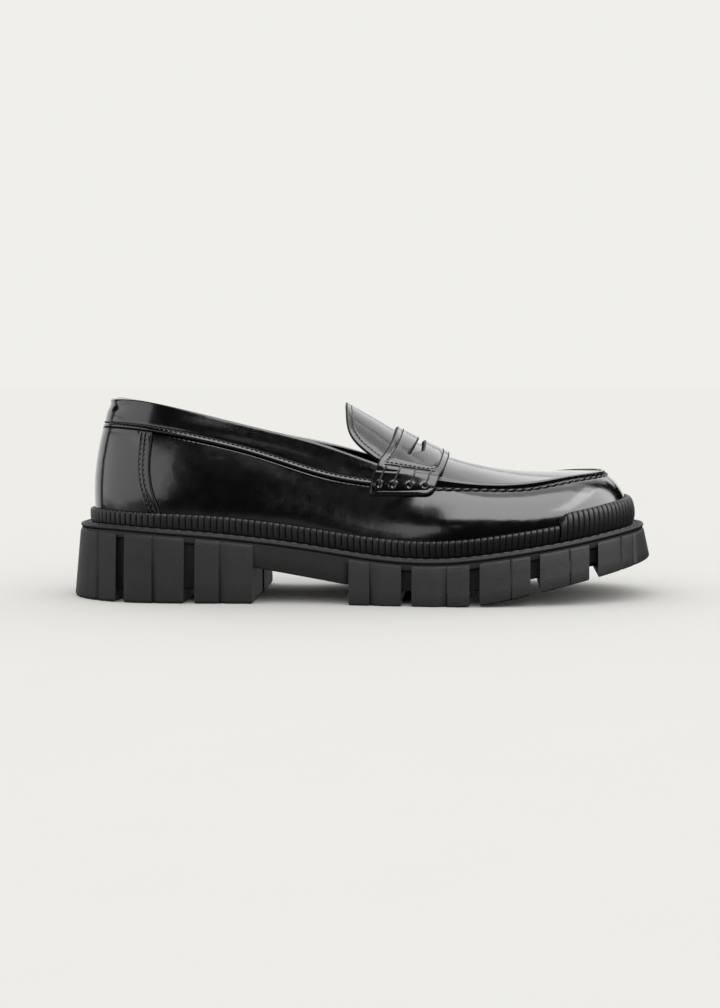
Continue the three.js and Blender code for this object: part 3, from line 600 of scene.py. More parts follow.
def stitch_parts(path, normals, pitch, length, radius, rise, slant=0.0):
    """Short threads along a path: points shaped (stitch, ring, side, 3)."""
    along = lengths(path)
    count = int(along[-1] / pitch)
    if count < 1:
        return np.zeros((0, 7, 6, 3))
    centre = (np.arange(count) + 0.5) * along[-1] / count
    index = np.interp(centre, along, np.arange(len(path)))
    place = pick(path, index)
    ahead = pick(path, np.minimum(index + 0.5, len(path) - 1.001))
    behind = pick(path, np.maximum(index - 0.5, 0))
    forward = unit(ahead - behind)
    up = pick(normals, index)
    up = unit(up - forward * np.sum(up * forward, -1, keepdims=True))
    aside = np.cross(forward, up)
    turned = forward * math.cos(slant) + aside * math.sin(slant)
    across = np.cross(turned, up)
    t = np.array([-1, -0.82, -0.45, 0, 0.45, 0.82, 1.0])
    thick = radius * np.array([0.25, 0.75, 1, 1, 1, 0.75, 0.25])
    height = rise * (1 - t**2) + radius * 0.2 * (1 - t**4) - radius * 0.35 * t**4
    angle = np.arange(6) * math.pi / 3
    spine = (
        place[:, None]
        + turned[:, None] * (t * length / 2)[None, :, None]
        + up[:, None] * height[None, :, None]
    )
    return (
        spine[:, :, None]
        + across[:, None, None] * (thick[:, None] * np.cos(angle))[None, :, :, None]
        + up[:, None, None] * (thick[:, None] * np.sin(angle))[None, :, :, None]
    )


def stitches(name, rows, material, replaces=()):
    """One piece from several rows of stitches."""
    threads = np.concatenate(rows)
    count, rings, sides = threads.shape[:3]
    faces = [face for k in range(count) for face in tube_faces(rings, sides, k * rings * sides)]
    piece = make(name, threads, faces, material, replaces)
    face_out(piece)
    return piece


def normals_of(grid):
    """Unit normals of a grid of points."""
    return unit(np.cross(np.gradient(grid, axis=0), np.gradient(grid, axis=1)))


def upward_normals(grid):
    """Unit normals of a grid of points, each turned upwards."""
    normals = normals_of(grid)
    return normals * np.sign(normals[..., 2:3])


def path_through(points, normals, indexes):
    """A path that crosses each row of points at its own fractional index, and its normals."""
    spots = [np.array([k]) for k in indexes]
    path = [pick(row, k)[0] for row, k in zip(points, spots)]
    up = [pick(row, k)[0] for row, k in zip(normals, spots)]
    return np.array(path), np.array(up)


# ------------------------------------------------------------------ materials


def new_material(name):
    """A material, with its nodes, its links and its shader."""
    material = bpy.data.materials.new(name)
    material.use_nodes = True
    nodes, links = material.node_tree.nodes, material.node_tree.links
    return material, nodes, links, nodes["Principled BSDF"]


def object_points(nodes, links, scale):
    """Object coordinates, in units of scale millimetres."""
    where = nodes.new("ShaderNodeTexCoord")
    grow = nodes.new("ShaderNodeVectorMath")
    grow.operation = "SCALE"
    grow.inputs["Scale"].default_value = 1000.0 / scale
    links.new(where.outputs["Object"], grow.inputs[0])
    return grow.outputs[0]


def noise(nodes, links, scale, detail, rough=0.5):
    """A soft noise whose spots are about scale millimetres wide."""
    node = nodes.new("ShaderNodeTexNoise")
    node.inputs["Scale"].default_value = 1.0
    node.inputs["Detail"].default_value = detail
    node.inputs["Roughness"].default_value = rough
    links.new(object_points(nodes, links, scale), node.inputs["Vector"])
    return node.outputs["Fac"]


def cells(nodes, links, scale):
    """Rounded grains, scale millimetres wide."""
    node = nodes.new("ShaderNodeTexVoronoi")
    node.inputs["Scale"].default_value = 1.0
    links.new(object_points(nodes, links, scale), node.inputs["Vector"])
    return node.outputs["Distance"]


def spread(nodes, links, value, low, high, from_low=0.0, from_high=1.0):
    """The value, carried from one range to another."""
    node = nodes.new("ShaderNodeMapRange")
    node.inputs["From Min"].default_value = from_low
    node.inputs["From Max"].default_value = from_high
    node.inputs["To Min"].default_value = low
    node.inputs["To Max"].default_value = high
    links.new(value, node.inputs["Value"])
    return node.outputs["Result"]


def tint(nodes, links, value, dark, light):
    """A colour between dark and light."""
    node = nodes.new("ShaderNodeValToRGB")
    node.color_ramp.elements[0].color = (*dark, 1)
    node.color_ramp.elements[1].color = (*light, 1)
    links.new(value, node.inputs["Fac"])
    return node.outputs["Color"]


def bump(nodes, links, height, distance, under=None):
    """A bump of height, distance millimetres deep, on top of the bump under."""
    node = nodes.new("ShaderNodeBump")
    node.inputs["Distance"].default_value = distance * 0.001
    links.new(height, node.inputs["Height"])
    if under is not None:
        links.new(under, node.inputs["Normal"])
    return node.outputs["Normal"]


def surface(name, tone, colours, roughness, reliefs, specular=0.5, metallic=0.0):
    """A material with two colours mixed by a noise, and a stack of reliefs (pattern, depth). A noise
    is (scale, detail), and a pattern is a noise, or the size of cells. The roughness is one value,
    or a noise and its two ends."""
    material, nodes, links, shader = new_material(name)
    links.new(tint(nodes, links, noise(nodes, links, *tone), *colours), shader.inputs["Base Color"])
    if isinstance(roughness, float):
        shader.inputs["Roughness"].default_value = roughness
    else:
        change, low, high = roughness
        links.new(spread(nodes, links, noise(nodes, links, *change), low, high), shader.inputs["Roughness"])
    shader.inputs["Specular IOR Level"].default_value = specular
    shader.inputs["Metallic"].default_value = metallic
    under = None
    for pattern, depth in reliefs:
        if isinstance(pattern, tuple):
            height = noise(nodes, links, *pattern)
        else:
            height = cells(nodes, links, pattern)
        under = bump(nodes, links, height, depth, under)
    links.new(under, shader.inputs["Normal"])
    return material


def polished_leather():
    """Black box leather with a high shine: fine pores, a slight waviness and scuffed patches."""
    material, nodes, links, shader = new_material("polished_leather")
    tone = noise(nodes, links, 9.0, 4.0)
    links.new(tint(nodes, links, tone, (0.0022, 0.0022, 0.0024), (0.0048, 0.0047, 0.0047)),
              shader.inputs["Base Color"])
    links.new(spread(nodes, links, noise(nodes, links, 5.0, 5.0, 0.6), 0.11, 0.2, 0.3, 0.7),
              shader.inputs["Roughness"])
    shader.inputs["IOR"].default_value = 1.5
    shader.inputs["Coat Weight"].default_value = 0.35
    shader.inputs["Coat Roughness"].default_value = 0.09
    folds = bump(nodes, links, noise(nodes, links, 22.0, 2.0), 0.25)
    waves = bump(nodes, links, noise(nodes, links, 6.0, 2.0), 0.05, folds)
    grain = bump(nodes, links, cells(nodes, links, 0.42), 0.010, waves)
    pores = bump(nodes, links, noise(nodes, links, 0.9, 4.0), 0.012, grain)
    links.new(pores, shader.inputs["Normal"])
    links.new(waves, shader.inputs["Coat Normal"])
    return material


def lining_leather():
    """Matte leather with a visible grain, a little worn."""
    colours = (0.010, 0.0098, 0.0095), (0.024, 0.023, 0.022)
    return surface("lining_leather", (4.0, 5.0), colours, ((2.0, 4.0), 0.5, 0.68),
                   [(0.7, 0.05), ((3.0, 4.0), 0.12)])


def sole_rubber():
    """Moulded rubber: matte, with the fine pebble of an etched mould."""
    colours = (0.011, 0.011, 0.0115), (0.020, 0.020, 0.0205)
    return surface("sole_rubber", (6.0, 5.0, 0.6), colours, ((1.5, 4.0), 0.5, 0.66),
                   [(0.55, 0.09), ((0.35, 3.0), 0.05)], 0.32)


def ribbed_rubber():
    """The rand's darker and smoother rubber."""
    colours = (0.008, 0.008, 0.008), (0.015, 0.015, 0.015)
    return surface("ribbed_rubber", (5.0, 5.0, 0.6), colours, ((1.2, 4.0), 0.38, 0.52),
                   [((0.5, 4.0), 0.05)], 0.36)


def waxed_thread(name, dark, light, roughness):
    """Thread or cord between two greys."""
    return surface(name, (0.8, 3.0), ((dark,) * 3, (light,) * 3), roughness, [((0.18, 2.0), 0.05)])


def cut_leather():
    """The dyed and burnished edge of cut leather."""
    colours = (0.003, 0.003, 0.003), (0.009, 0.0085, 0.008)
    return surface("cut_leather", (1.0, 4.0), colours, 0.6, [((0.4, 3.0), 0.08)], 0.25)


def plain(name, dark, light, roughness, grain, depth, metallic=0.0):
    """The hidden pieces' materials, with a grain of one size and depth."""
    return surface(name, (grain * 4, 4.0), (dark, light), roughness, [((grain, 4.0), depth)],
                   metallic=metallic)


LEATHER_MAT = polished_leather()
EDGE_MAT = cut_leather()
LINING_MAT = lining_leather()
RUBBER_MAT = sole_rubber()
RIB_MAT = ribbed_rubber()
THREAD_MAT = waxed_thread("waxed_thread", 0.006, 0.014, 0.5)
CORD_MAT = waxed_thread("waxed_cord", 0.02, 0.045, 0.32)
FOAM_MAT = plain("grey_foam", (0.10, 0.10, 0.11), (0.16, 0.16, 0.17), 0.95, 0.8, 0.15)
BOARD_MAT = plain("fibreboard", (0.33, 0.25, 0.17), (0.50, 0.40, 0.29), 0.85, 1.5, 0.08)
STEEL_MAT = plain("spring_steel", (0.45, 0.45, 0.47), (0.58, 0.58, 0.60), 0.35, 0.6, 0.01, 1.0)

# The material of each slot, for the hidden CAD pieces.
HIDDEN = {
    "foam": FOAM_MAT,
    "board": BOARD_MAT,
    "shank_steel": STEEL_MAT,
    "lining_leather": LINING_MAT,
    "polished_leather": LEATHER_MAT,
    "sole_rubber": RUBBER_MAT,
    "thread": THREAD_MAT,
}

# ------------------------------------------------------------------ the upper


def round_range(x_lateral, x_medial, v=0.5):
    """The u range round the heel between two points of the sides, medial one first."""
    return side_u(x_medial, 1, v) - 1, side_u(x_lateral, -1, v)


def side_panel():
    """The one-piece vamp and quarters, gathered into the moc seam at the front."""
    u = np.linspace(0, 1, 1400, endpoint=False)
    v = np.concatenate([np.linspace(-0.02, 0.9, 44), np.linspace(0.905, 1.0, 22)])
    seam = wall(u, 1.0)
    along = lengths(seam)
    x = seam[:, 0]
    forepart = smooth(34, 44, x)
    moc_pucker = puckers(along, MOC_PITCH) * forepart
    collar_pucker = puckers(along, COLLAR_PITCH) * (1 - forepart)
    below = np.linalg.norm(wall(u[:, None], v[None]) - seam[:, None], axis=-1)
    off = -(0.35 * moc_pucker + 0.1 * collar_pucker)[:, None] * bell(below, 0, 1.2)
    off -= 0.6 * bell(below, 0, 0.6)  # turned in at the seam
    outer = wall(u[:, None], v[None], off)
    inner = wall(u[:, None], v[None], -LEATHER)
    shell("vamp_quarter_leather", outer, inner, LEATHER_MAT, ["vamp_quarter"], closed=True)


def overlay_side(side, v):
    """The u of the overlay's front edge on one side, at each v."""
    edge_x = through(OVERLAY_EDGE)
    heights = [wall(side_u(-100.0, side, t), t)[2] for t in v]
    return np.array([side_u(edge_x(z), side, t) for z, t in zip(heights, v)])


def heel_overlay():
    """The back piece, with two rows of stitches behind each front edge."""
    v = np.linspace(-0.01, 0.99, 70)
    lateral, medial = overlay_side(-1, v), overlay_side(1, v) - 1
    half = np.concatenate([[0, 0.3, 0.6, 1.0], np.arange(1.3, 6.0, 0.22), np.linspace(6.4, 38, 36)]) / 80
    share = np.concatenate([half, 1 - half[::-1]])
    u = medial[None] + (lateral - medial)[None] * share[:, None]
    base = wall(u, v[None])
    span = np.linalg.norm(np.diff(base, axis=0), axis=-1)
    along = np.concatenate([np.zeros((1, len(v))), np.cumsum(span, axis=0)])
    from_edge = np.minimum(along, along[-1] - along)
    dip = sum(bell(from_edge, row, 0.45) for row in OVERLAY_ROWS)
    seam = wall(u[:, -1], 1.0)
    pucker = puckers(lengths(seam), COLLAR_PITCH)
    below = np.linalg.norm(base - seam[:, None], axis=-1)
    off = GAP + 1.05 - 0.22 * dip - 0.3 * pucker[:, None] * bell(below, 0, 1.4)
    outer, inner = wall(u, v[None], off), wall(u, v[None], 0.15)
    shell("heel_overlay_leather", outer, inner, LEATHER_MAT, ["heel_overlay"], cut=True)
    normals = normals_of(outer)
    normals *= np.sign(np.sum(normals * (outer - inner), -1, keepdims=True))
    stitched = range(12, len(v) - 3)
    columns = slice(stitched.start, stitched.stop)
    points, directions = outer[:, columns].transpose(1, 0, 2), normals[:, columns].transpose(1, 0, 2)
    for side, name in ((-1, "lateral"), (1, "medial")):
        distance = (along[-1] - along)[::-1] if side < 0 else along
        index = np.arange(len(share))[:: -1 if side < 0 else 1]
        rows = []
        for row in OVERLAY_ROWS:
            places = [np.interp(row, distance[:, k], index) for k in stitched]
            rows.append(stitch_parts(*path_through(points, directions, places), *OVERLAY_STITCH))
        stitches(f"overlay_stitches_{name}", rows, THREAD_MAT, [f"overlay_thread_{name}"])


def band_tall(row):
    """The collar band's height along the wall, at rows of the stations."""
    return np.hypot(row[..., 4] - row[..., 2], row[..., 5] - row[..., 3])


def band_turn(tall):
    """How far down the inside a band of some height is turned."""
    return np.minimum(BAND_FOLD, tall * 0.55)


def band_place(u, height, off):
    """A point of the collar: height above the seam line, along the wall, and off outside it."""
    row, _ = feather(u)
    rise = 1.08 * (row[..., 2] - ledge(row[..., 0]) - GAP)
    v = np.where(height > 0, 1 + height / band_tall(row), 1 + height / rise)
    return wall(u, v, off)


def band_section(tall, pucker, heel):
    """The band's section, as heights above the seam line and distances outside the wall. heel is 1
    at the back of the heel, where the roll is fuller, and 0 along the sides."""
    lip = [(0.35, 0.1), (0.12, 0.35), (0.05, 0.75), (0.15, 1.15), (0.45, 1.45), (0.9, 1.55), (1.35, 1.46),
           (1.7, 1.25), (1.95, 1.02), (2.2, 0.86), (2.45, 0.84), (2.7, 0.95), (3.0, 1.1), (3.5, 1.2)]
    height = [h for h, _ in lip]
    off = [o - 0.12 * pucker * bell(h, 2.3, 0.5) for h, o in lip]
    lip_top, lip_out = lip[-1]
    roll = min(1.0 + 1.1 * heel, tall / 4)
    rise = np.linspace(0, 1, 11)[1:-1]
    height += list(lip_top + (tall - roll - lip_top) * rise)
    dent = 0.65 * heel * bell(rise, 0.79, 0.28)
    swell = (0.1 + 0.15 * heel) * np.sin(np.pi * rise)
    off += list(lip_out + (BAND_OUT - lip_out) * smooth(0.3, 1.0, rise) + swell - dent)
    quarter = np.linspace(0, np.pi / 2, 7)
    for corner, turn in ((BAND_OUT - roll, quarter), (BAND_IN + roll, quarter + np.pi / 2)):
        height += list(tall - roll + roll * np.sin(turn))
        off += list(corner + roll * np.cos(turn))
    hem = tall - band_turn(tall)
    height += [tall - roll - 2.0, hem, hem - 0.3, hem, tall - roll, 2.6, 0.9]
    off += [BAND_IN, BAND_IN - 0.05, BAND_IN + 0.4, BAND_IN + 0.85, BAND_IN + 0.95, 0.0, 0.05]
    return height, off


def band_stitches(name, u, height, faces, sizes, replaces=()):
    """A row of stitches at a height of the band. faces are two distances outside the wall: the
    stitches lie on the first and look to the second. sizes are as stitch_parts takes them."""
    path, ahead = (band_place(u, height, np.full(len(u), off)) for off in faces)
    thread = stitch_parts(path, unit(ahead - path), *sizes)
    stitches(name, [thread], THREAD_MAT, replaces)


def collar_band():
    """The band along the topline: a turned lower edge, a stitched groove and a rolled top."""
    u = np.linspace(*round_range(BAND_END_X, BAND_END_X, 1.0), 900)
    row, _ = feather(u)
    tall = band_tall(row)
    pucker = puckers(lengths(wall(u, 1.0)), COLLAR_PITCH)
    heel = smooth(-105, -125, row[:, 0])
    loops = np.array([band_section(*values) for values in zip(tall, pucker, heel)])
    height, off = loops[:, 0], loops[:, 1]
    places = band_place(np.broadcast_to(u[:, None], height.shape), height, off)
    band = sweep("collar_band_leather", places, LEATHER_MAT, ["collar_band"])
    groove = np.full(len(u), 2.35)
    band_stitches("collar_stitches", u, groove, (0.92, 1.9), COLLAR_STITCH, ["collar_thread"])
    hem = tall - band_turn(tall)
    band_stitches("collar_inner_stitches", u, hem + 1.5, (BAND_IN - 0.03, BAND_IN - 1.0), HEM_STITCH)


def moc_ridge():
    """The upright edge of the moc seam: a lip over a plain face, with the seam's stitches at its foot.
    It runs from one end of the collar band round the toe to the other."""
    u = np.linspace(side_u(BAND_END_X + 1, -1, 1.0), side_u(BAND_END_X + 1, 1, 1.0), 900)
    row, out = feather(u)
    edge, seam = wall(u, 2.0), wall(u, 1.0)
    drop = edge[:, 2] - seam[:, 2]
    reach = row[:, 5] - row[:, 3]  # from the edge line out to the seam
    top = [(-0.6, -0.3), (-0.5, 0.1), (-0.2, 0.38), (0.25, 0.45), (0.7, 0.34), (1.0, 0.1), (1.05, -0.15),
           (0.9, -0.35), (0.72, -0.55)]
    foot = [(-0.45, 0.5), (-0.25, 0.1), (-0.3, -0.6), (-2.0, -0.8)]
    outward = np.array([np.full(len(u), o) for o, _ in top] + [reach + o for o, _ in foot])
    height = np.array([np.full(len(u), h) for _, h in top] + [h - drop for _, h in foot])
    places = edge[None] + np.stack([out[:, 0] * outward, out[:, 1] * outward, height], -1)
    places = places.transpose(1, 0, 2)
    sweep("moc_seam_ridge", places, LEATHER_MAT, ["moc_piping"])
    path = seam + np.stack([out[:, 0] * 0.1, out[:, 1] * 0.1, np.full(len(u), -0.25)], -1)
    up = unit(np.stack([out[:, 0], out[:, 1], np.full(len(u), 0.7)], -1))
    thread = stitch_parts(path, up, *MOC_STITCH, slant=MOC_SLANT)
    stitches("moc_seam_stitches", [thread], CORD_MAT, ["moc_seam_thread"])


def apron_grid(inset, rows, columns):
    """The apron's surface. Its rows run from the edge to the middle line, which the two halves share.
    Also how far each point is from the edge, and the normals."""
    first, last = side_u(APRON_BACK_X, -1, 2.0, -inset), side_u(APRON_BACK_X, 1, 2.0, -inset)
    line = wall(np.linspace(first, last, 3001), 2.0, -inset)
    along = lengths(line)
    tip = along[np.argmax(line[:, 0])]
    half = rows // 2 + 1
    targets = np.concatenate([np.linspace(0, tip, half), np.linspace(tip, along[-1], half)[1:]])
    edge = pick(line, np.interp(targets, along, np.arange(len(line))))
    spine_x = np.minimum((edge[:, 0] + edge[::-1, 0]) / 2, edge[:, 0].max() - APRON_FAN)
    lateral, medial = edge_at(spine_x, -1), edge_at(spine_x, 1)
    spine = np.stack([spine_x, (lateral[:, 1] + medial[:, 1]) / 2, ridge(spine_x)], 1)
    share = np.concatenate([np.linspace(0, 0.11, 24), np.linspace(0.11, 1, columns - 23)[1:]])
    grid = edge[:, None] + (spine - edge)[:, None] * share[None, :, None]
    grid[..., 2] = edge[:, None, 2] + (spine - edge)[:, None, 2] * (2 * share - share**2)
    inwards = share[None] * np.linalg.norm(spine - edge, axis=1)[:, None]
    normals = upward_normals(grid)
    slope = (ridge(spine_x + 1) - ridge(spine_x - 1)) / 2
    normals[:, -1] = unit(np.stack([-slope, np.zeros(rows), np.ones(rows)], 1))
    return grid, inwards, normals


def apron():
    """The plug on the forefoot: a rolled edge and a row of small stitches beside it."""
    base, inwards, normals = apron_grid(1.5, 521, 90)
    edge_roll = np.clip(1 - inwards / 0.8, 0, 1)
    groove = 0.3 * bell(inwards, 1.7, 0.35)
    off = 0.4 - groove - 0.5 * edge_roll**2 + 0.1 * bell(inwards, 0.9, 0.5)
    outer, inner = base + normals * off[..., None], base - normals * LEATHER
    shell("apron_leather", outer, inner, LEATHER_MAT, ["apron"], folded=True)
    path, up = outer[:, 0] + normals[:, 0] * 0.15, normals[:, 0]
    stitches("apron_stitches", [stitch_parts(path, up, *APRON_STITCH)], THREAD_MAT)


def tongue_grid(rows, columns, shrink=0.0):
    """The tongue's surface, over the arch of the instep. Its rows run forwards from its back edge."""
    share = np.linspace(0, 1, rows)[:, None]
    fine = columns // 2
    t = np.concatenate([np.linspace(0, 0.3, fine), np.linspace(0.3, 1, columns - fine + 1)[1:]])
    x = tongue_back(share) + shrink + (TONGUE_FRONT_X - tongue_back(share) - shrink) * t[None]
    lateral = edge_at(x, -1, TONGUE_INSET)[..., 1] + shrink
    medial = edge_at(x, 1, TONGUE_INSET)[..., 1] - shrink
    y = lateral + (medial - lateral) * share
    return np.stack([x, y, arch_over(x, y)], -1)


def tongue():
    """The flap in front of the opening: a stitched edge, over a lining."""
    base = tongue_grid(240, 90)
    edge = base[:, 0]
    from_edge = np.min(np.linalg.norm(base[:, :, None] - edge[None, None, ::2], axis=-1), axis=2)
    normals = upward_normals(base)
    stitch_row = 2.5
    outer = base + normals * (0.35 - 0.25 * bell(from_edge, stitch_row, 0.45))[..., None]
    inner = base - normals * 1.0
    shell("tongue_leather", outer, inner, LEATHER_MAT, ["tongue"], cut=True)
    lining = tongue_grid(160, 40, shrink=0.25)
    under = upward_normals(lining)
    shell("tongue_lining_leather", lining - under * 1.2, lining - under * 2.1,
          LINING_MAT, ["tongue_lining"])
    stitched = slice(6, len(base) - 6)
    places = [np.interp(stitch_row, row, np.arange(base.shape[1])) for row in from_edge[stitched]]
    path, up = path_through(outer[stitched], normals[stitched], places)
    stitches("tongue_stitches", [stitch_parts(path, up, *TONGUE_STITCH)], THREAD_MAT)


def wall_lining(piece, node, u, v):
    """A lining that follows the inside of the wall."""
    outer, inner = wall(u, v, -LINING_IN), wall(u, v, -LINING_IN - LINING)
    shell(piece, outer, inner, LINING_MAT, [node])


def linings():
    """The quarter lining round the foot, and the linings inside the forefoot and the apron."""
    foot = 0.06
    u = np.linspace(*round_range(BAND_END_X, BAND_END_X, 1.0), 360)
    tall = band_tall(feather(u)[0])
    top = 1 + (tall - band_turn(tall) - 0.6) / tall
    v = foot + (top[:, None] - foot) * np.linspace(0, 1, 60)[None]
    wall_lining("quarter_lining_leather", "quarter_lining", u[:, None], v)
    u = np.linspace(side_u(BAND_END_X + 1, -1, 1.0), side_u(BAND_END_X + 1, 1, 1.0), 300)
    wall_lining("vamp_lining_leather", "vamp_lining", u[:, None], np.linspace(foot, 0.95, 40)[None])
    base, _, normals = apron_grid(3.0, 241, 60)
    outer, inner = base - normals * 1.9, base - normals * 2.7
    shell("apron_lining_leather", outer, inner, LINING_MAT, ["apron_lining"], folded=True)


def sock_liner():
    """The leather sock on the footbed, dished under the heel."""
    line = plan_at(np.linspace(0, 1, 800), np.full(800, SOCK_OFF))
    first, last = line[:, 0].min() + 0.4, line[:, 0].max() - 0.4
    x = (first + last) / 2 - (last - first) / 2 * np.cos(np.linspace(0, np.pi, 220))
    across = 0.5 - 0.5 * np.cos(np.linspace(0, np.pi, 60))
    lateral, medial = side_y(x, SOCK_OFF, -1), side_y(x, SOCK_OFF, 1)
    y = lateral[:, None] + (medial - lateral)[:, None] * across[None]
    dish = 0.9 * np.sin(np.pi * across)[None] * (1 - smooth(-70, -10, x))[:, None]
    top = np.stack([np.broadcast_to(x[:, None], y.shape), y, ledge(x)[:, None] + SOCK_RISE - dish], -1)
    shell("sock_liner_leather", top, top - (0, 0, 1.0), LINING_MAT, ["sock_liner"])
    stitched = (x > -118) & (x < 20)
    rows = []
    for row_y in (lateral + 3.0, medial - 3.0):
        path = np.stack([x, row_y, ledge(x) + SOCK_RISE - 0.1], 1)[stitched]
        up = np.broadcast_to((0.0, 0.0, 1.0), path.shape)
        rows.append(stitch_parts(path, up, *SOCK_STITCH))
    stitches("sock_stitches", rows, THREAD_MAT)


# ------------------------------------------------------------------ the saddle


def saddle_frame(rows, columns):
    """Points over which the saddle lies: rows across the shoe from the lateral lower edge to the
    medial one, columns from the back edge to the front edge. A strap's place across the shoe is
    its y over the instep, and beyond the edge line its y there and the drop below it."""
    lines = []
    for share in np.linspace(0, 1, columns):
        x_at = lambda c, f=share: saddle_back(c) + (saddle_front(c) - saddle_back(c)) * f
        ends = [saddle_end(x_at, side) for side in (-1, 1)]
        a, b = ends[0][-1], ends[1][-1]
        y = np.linspace(a[1], b[1], 220)[4:-4]
        x = x_at(y - SADDLE_MIDDLE)
        over = np.stack([x, y, arch_over(x, y) + SADDLE_LIFT + 0.3], 1)
        line = np.concatenate([ends[0], over, ends[1][::-1]])
        line = pick(line, paced(line, lengths(line)[-1] * np.linspace(0, 1, 1200)))
        soft = blurred(line, 16)
        lines.append(pick(soft, np.linspace(0, len(soft) - 1.001, rows)))
    return np.stack(lines, 1)


def saddle_end(x_at, side):
    """One end of a saddle line, up the wall from its lower edge to the edge line."""
    edge = edge_at(float(x_at(side * 34.6)), side)
    z = np.linspace(SADDLE_BOTTOM, edge[2], 60)
    x = x_at(side * (abs(edge[1] - SADDLE_MIDDLE) + edge[2] - z))
    u, v = side_u(x, side, 1.5), np.full(len(z), 1.5)
    for _ in range(4):
        v = v_at(u, z)
        u = side_u(x + (wall(u, 1.5)[:, 0] - wall(u, v)[:, 0]), side, 1.5)
    return wall(u, v, SADDLE_LIFT + 0.45 * smooth(0.9, 1.05, v))


def blurred(line, reach):
    """A line of points rounded off over reach points to each side, with its ends kept."""
    window = np.hanning(2 * reach + 1)
    window /= window.sum()
    before = 2 * line[0] - line[reach:0:-1]
    after = 2 * line[-1] - line[-2 : -reach - 2 : -1]
    padded = np.concatenate([before, line, after])
    return np.stack([np.convolve(padded[:, k], window, "valid") for k in range(3)], 1)


def between(points, loops):
    """Which points lie inside the first loop and outside the others."""
    return within(points, loops[0]) & ~np.any([within(points, hole) for hole in loops[1:]], axis=0)


def cut_flat(loops, spacing):
    """Flat leather inside the first loop and outside the others: points, triangles, and the points
    that lie on each loop."""
    low, high = loops[0].min(0), loops[0].max(0)
    across, along = np.arange(low[0], high[0], spacing), np.arange(low[1], high[1], spacing)
    filling = np.stack(np.meshgrid(across, along, indexing="ij"), -1).reshape(-1, 2)
    keep = between(filling, loops)
    for loop in loops:
        keep &= distance_to(filling, loop) > 0.45 * spacing
    edges, starts = [], [0]
    for loop in loops:
        start, count = starts[-1], len(loop)
        edges += [(start + i, start + (i + 1) % count) for i in range(count)]
        starts.append(start + count)
    given = [Vector(p) for p in np.concatenate([*loops, filling[keep]])]
    points, _, triangles, origin, _, _ = delaunay_2d_cdt(given, edges, [], 0, 1e-5)
    points, triangles = np.array([tuple(p) for p in points]), np.array(triangles)
    triangles = triangles[between(points[triangles].mean(1), loops)]
    place_of = {old: new for new, olds in enumerate(origin) for old in olds}
    rings = [np.array([place_of[i] for i in range(a, b)]) for a, b in zip(starts, starts[1:])]
    return points, triangles, rings


def plate(name, loops, spacing, place, relief, thick, material, replaces):
    """A piece cut from flat leather and laid on a surface, with rounded rims. place maps flat points
    to the surface's points and normals; relief maps them to how far the face is pushed up or down."""
    spots, triangles, rings = cut_flat(loops, spacing)
    count = len(spots)
    under, normals = place(spots)
    outer = under + normals * (thick + relief(spots))[:, None]
    stack = [outer, under]
    faces = triangles.tolist() + (triangles[:, ::-1] + count).tolist()
    base = 2 * count
    for loop, ring in zip(loops, rings):
        step = np.roll(loop, -1, 0) - np.roll(loop, 1, 0)
        away = unit(np.stack([step[:, 1], -step[:, 0]], 1))
        if within(loop + 0.05 * away, loop)[0] == (loop is loops[0]):
            away = -away  # out of the outline, or into a hole
        ahead, _ = place(loop + 0.2 * away)
        here, _ = place(loop)
        chain = [ring]
        for row in rim_rows(outer[ring], under[ring], ahead - here, 5):
            stack.append(row)
            chain.append(base + np.arange(len(ring)))
            base += len(ring)
        chain.append(ring + count)
        for a, b in zip(chain, chain[1:]):
            faces += np.stack([a, b, np.roll(b, -1), np.roll(a, -1)], 1).tolist()
    piece = make(name, np.concatenate(stack), faces, material, replaces)
    cut_edge(piece, 2 * len(triangles))
    face_out(piece)


def within(points, loop):
    """Which points lie inside a closed loop."""
    inside = np.zeros(len(points), bool)
    for a, b in zip(loop, np.roll(loop, -1, 0)):
        crosses = (a[1] > points[:, 1]) != (b[1] > points[:, 1])
        rise = b[1] - a[1] if b[1] != a[1] else 1e-12
        inside ^= crosses & (points[:, 0] < (b[0] - a[0]) * (points[:, 1] - a[1]) / rise + a[0])
    return inside


def distance_to(points, loop):
    """Distance of each point to a closed loop of points."""
    best = np.full(len(points), 1e9)
    for a, b in zip(loop, np.roll(loop, -1, 0)):
        span = b - a
        t = np.clip(((points - a) @ span) / max(span @ span, 1e-12), 0, 1)
        best = np.minimum(best, np.linalg.norm(points - a - t[:, None] * span, axis=1))
    return best


def rounded(corners, radii):
    """A closed loop through corners, each rounded by its radius, as evenly spaced points."""
    corners = [np.array(c, float) for c in corners]
    line = []
    for i, (corner, radius) in enumerate(zip(corners, radii)):
        before, after = corners[i - 1], corners[(i + 1) % len(corners)]
        a, b = unit(before - corner), unit(after - corner)
        half = math.acos(np.clip(a @ b, -1, 1)) / 2
        back = radius / math.tan(half)
        centre = corner + unit(a + b) * radius / math.sin(half)
        start, end = corner + a * back - centre, corner + b * back - centre
        for t in np.linspace(0, 1, 9):
            arc = unit(start * (1 - t) + end * t) * radius
            line.append(centre + arc)
    line = np.array([*line, line[0]])
    step = 0.45
    return pick(line, paced(line, step))[:-1]


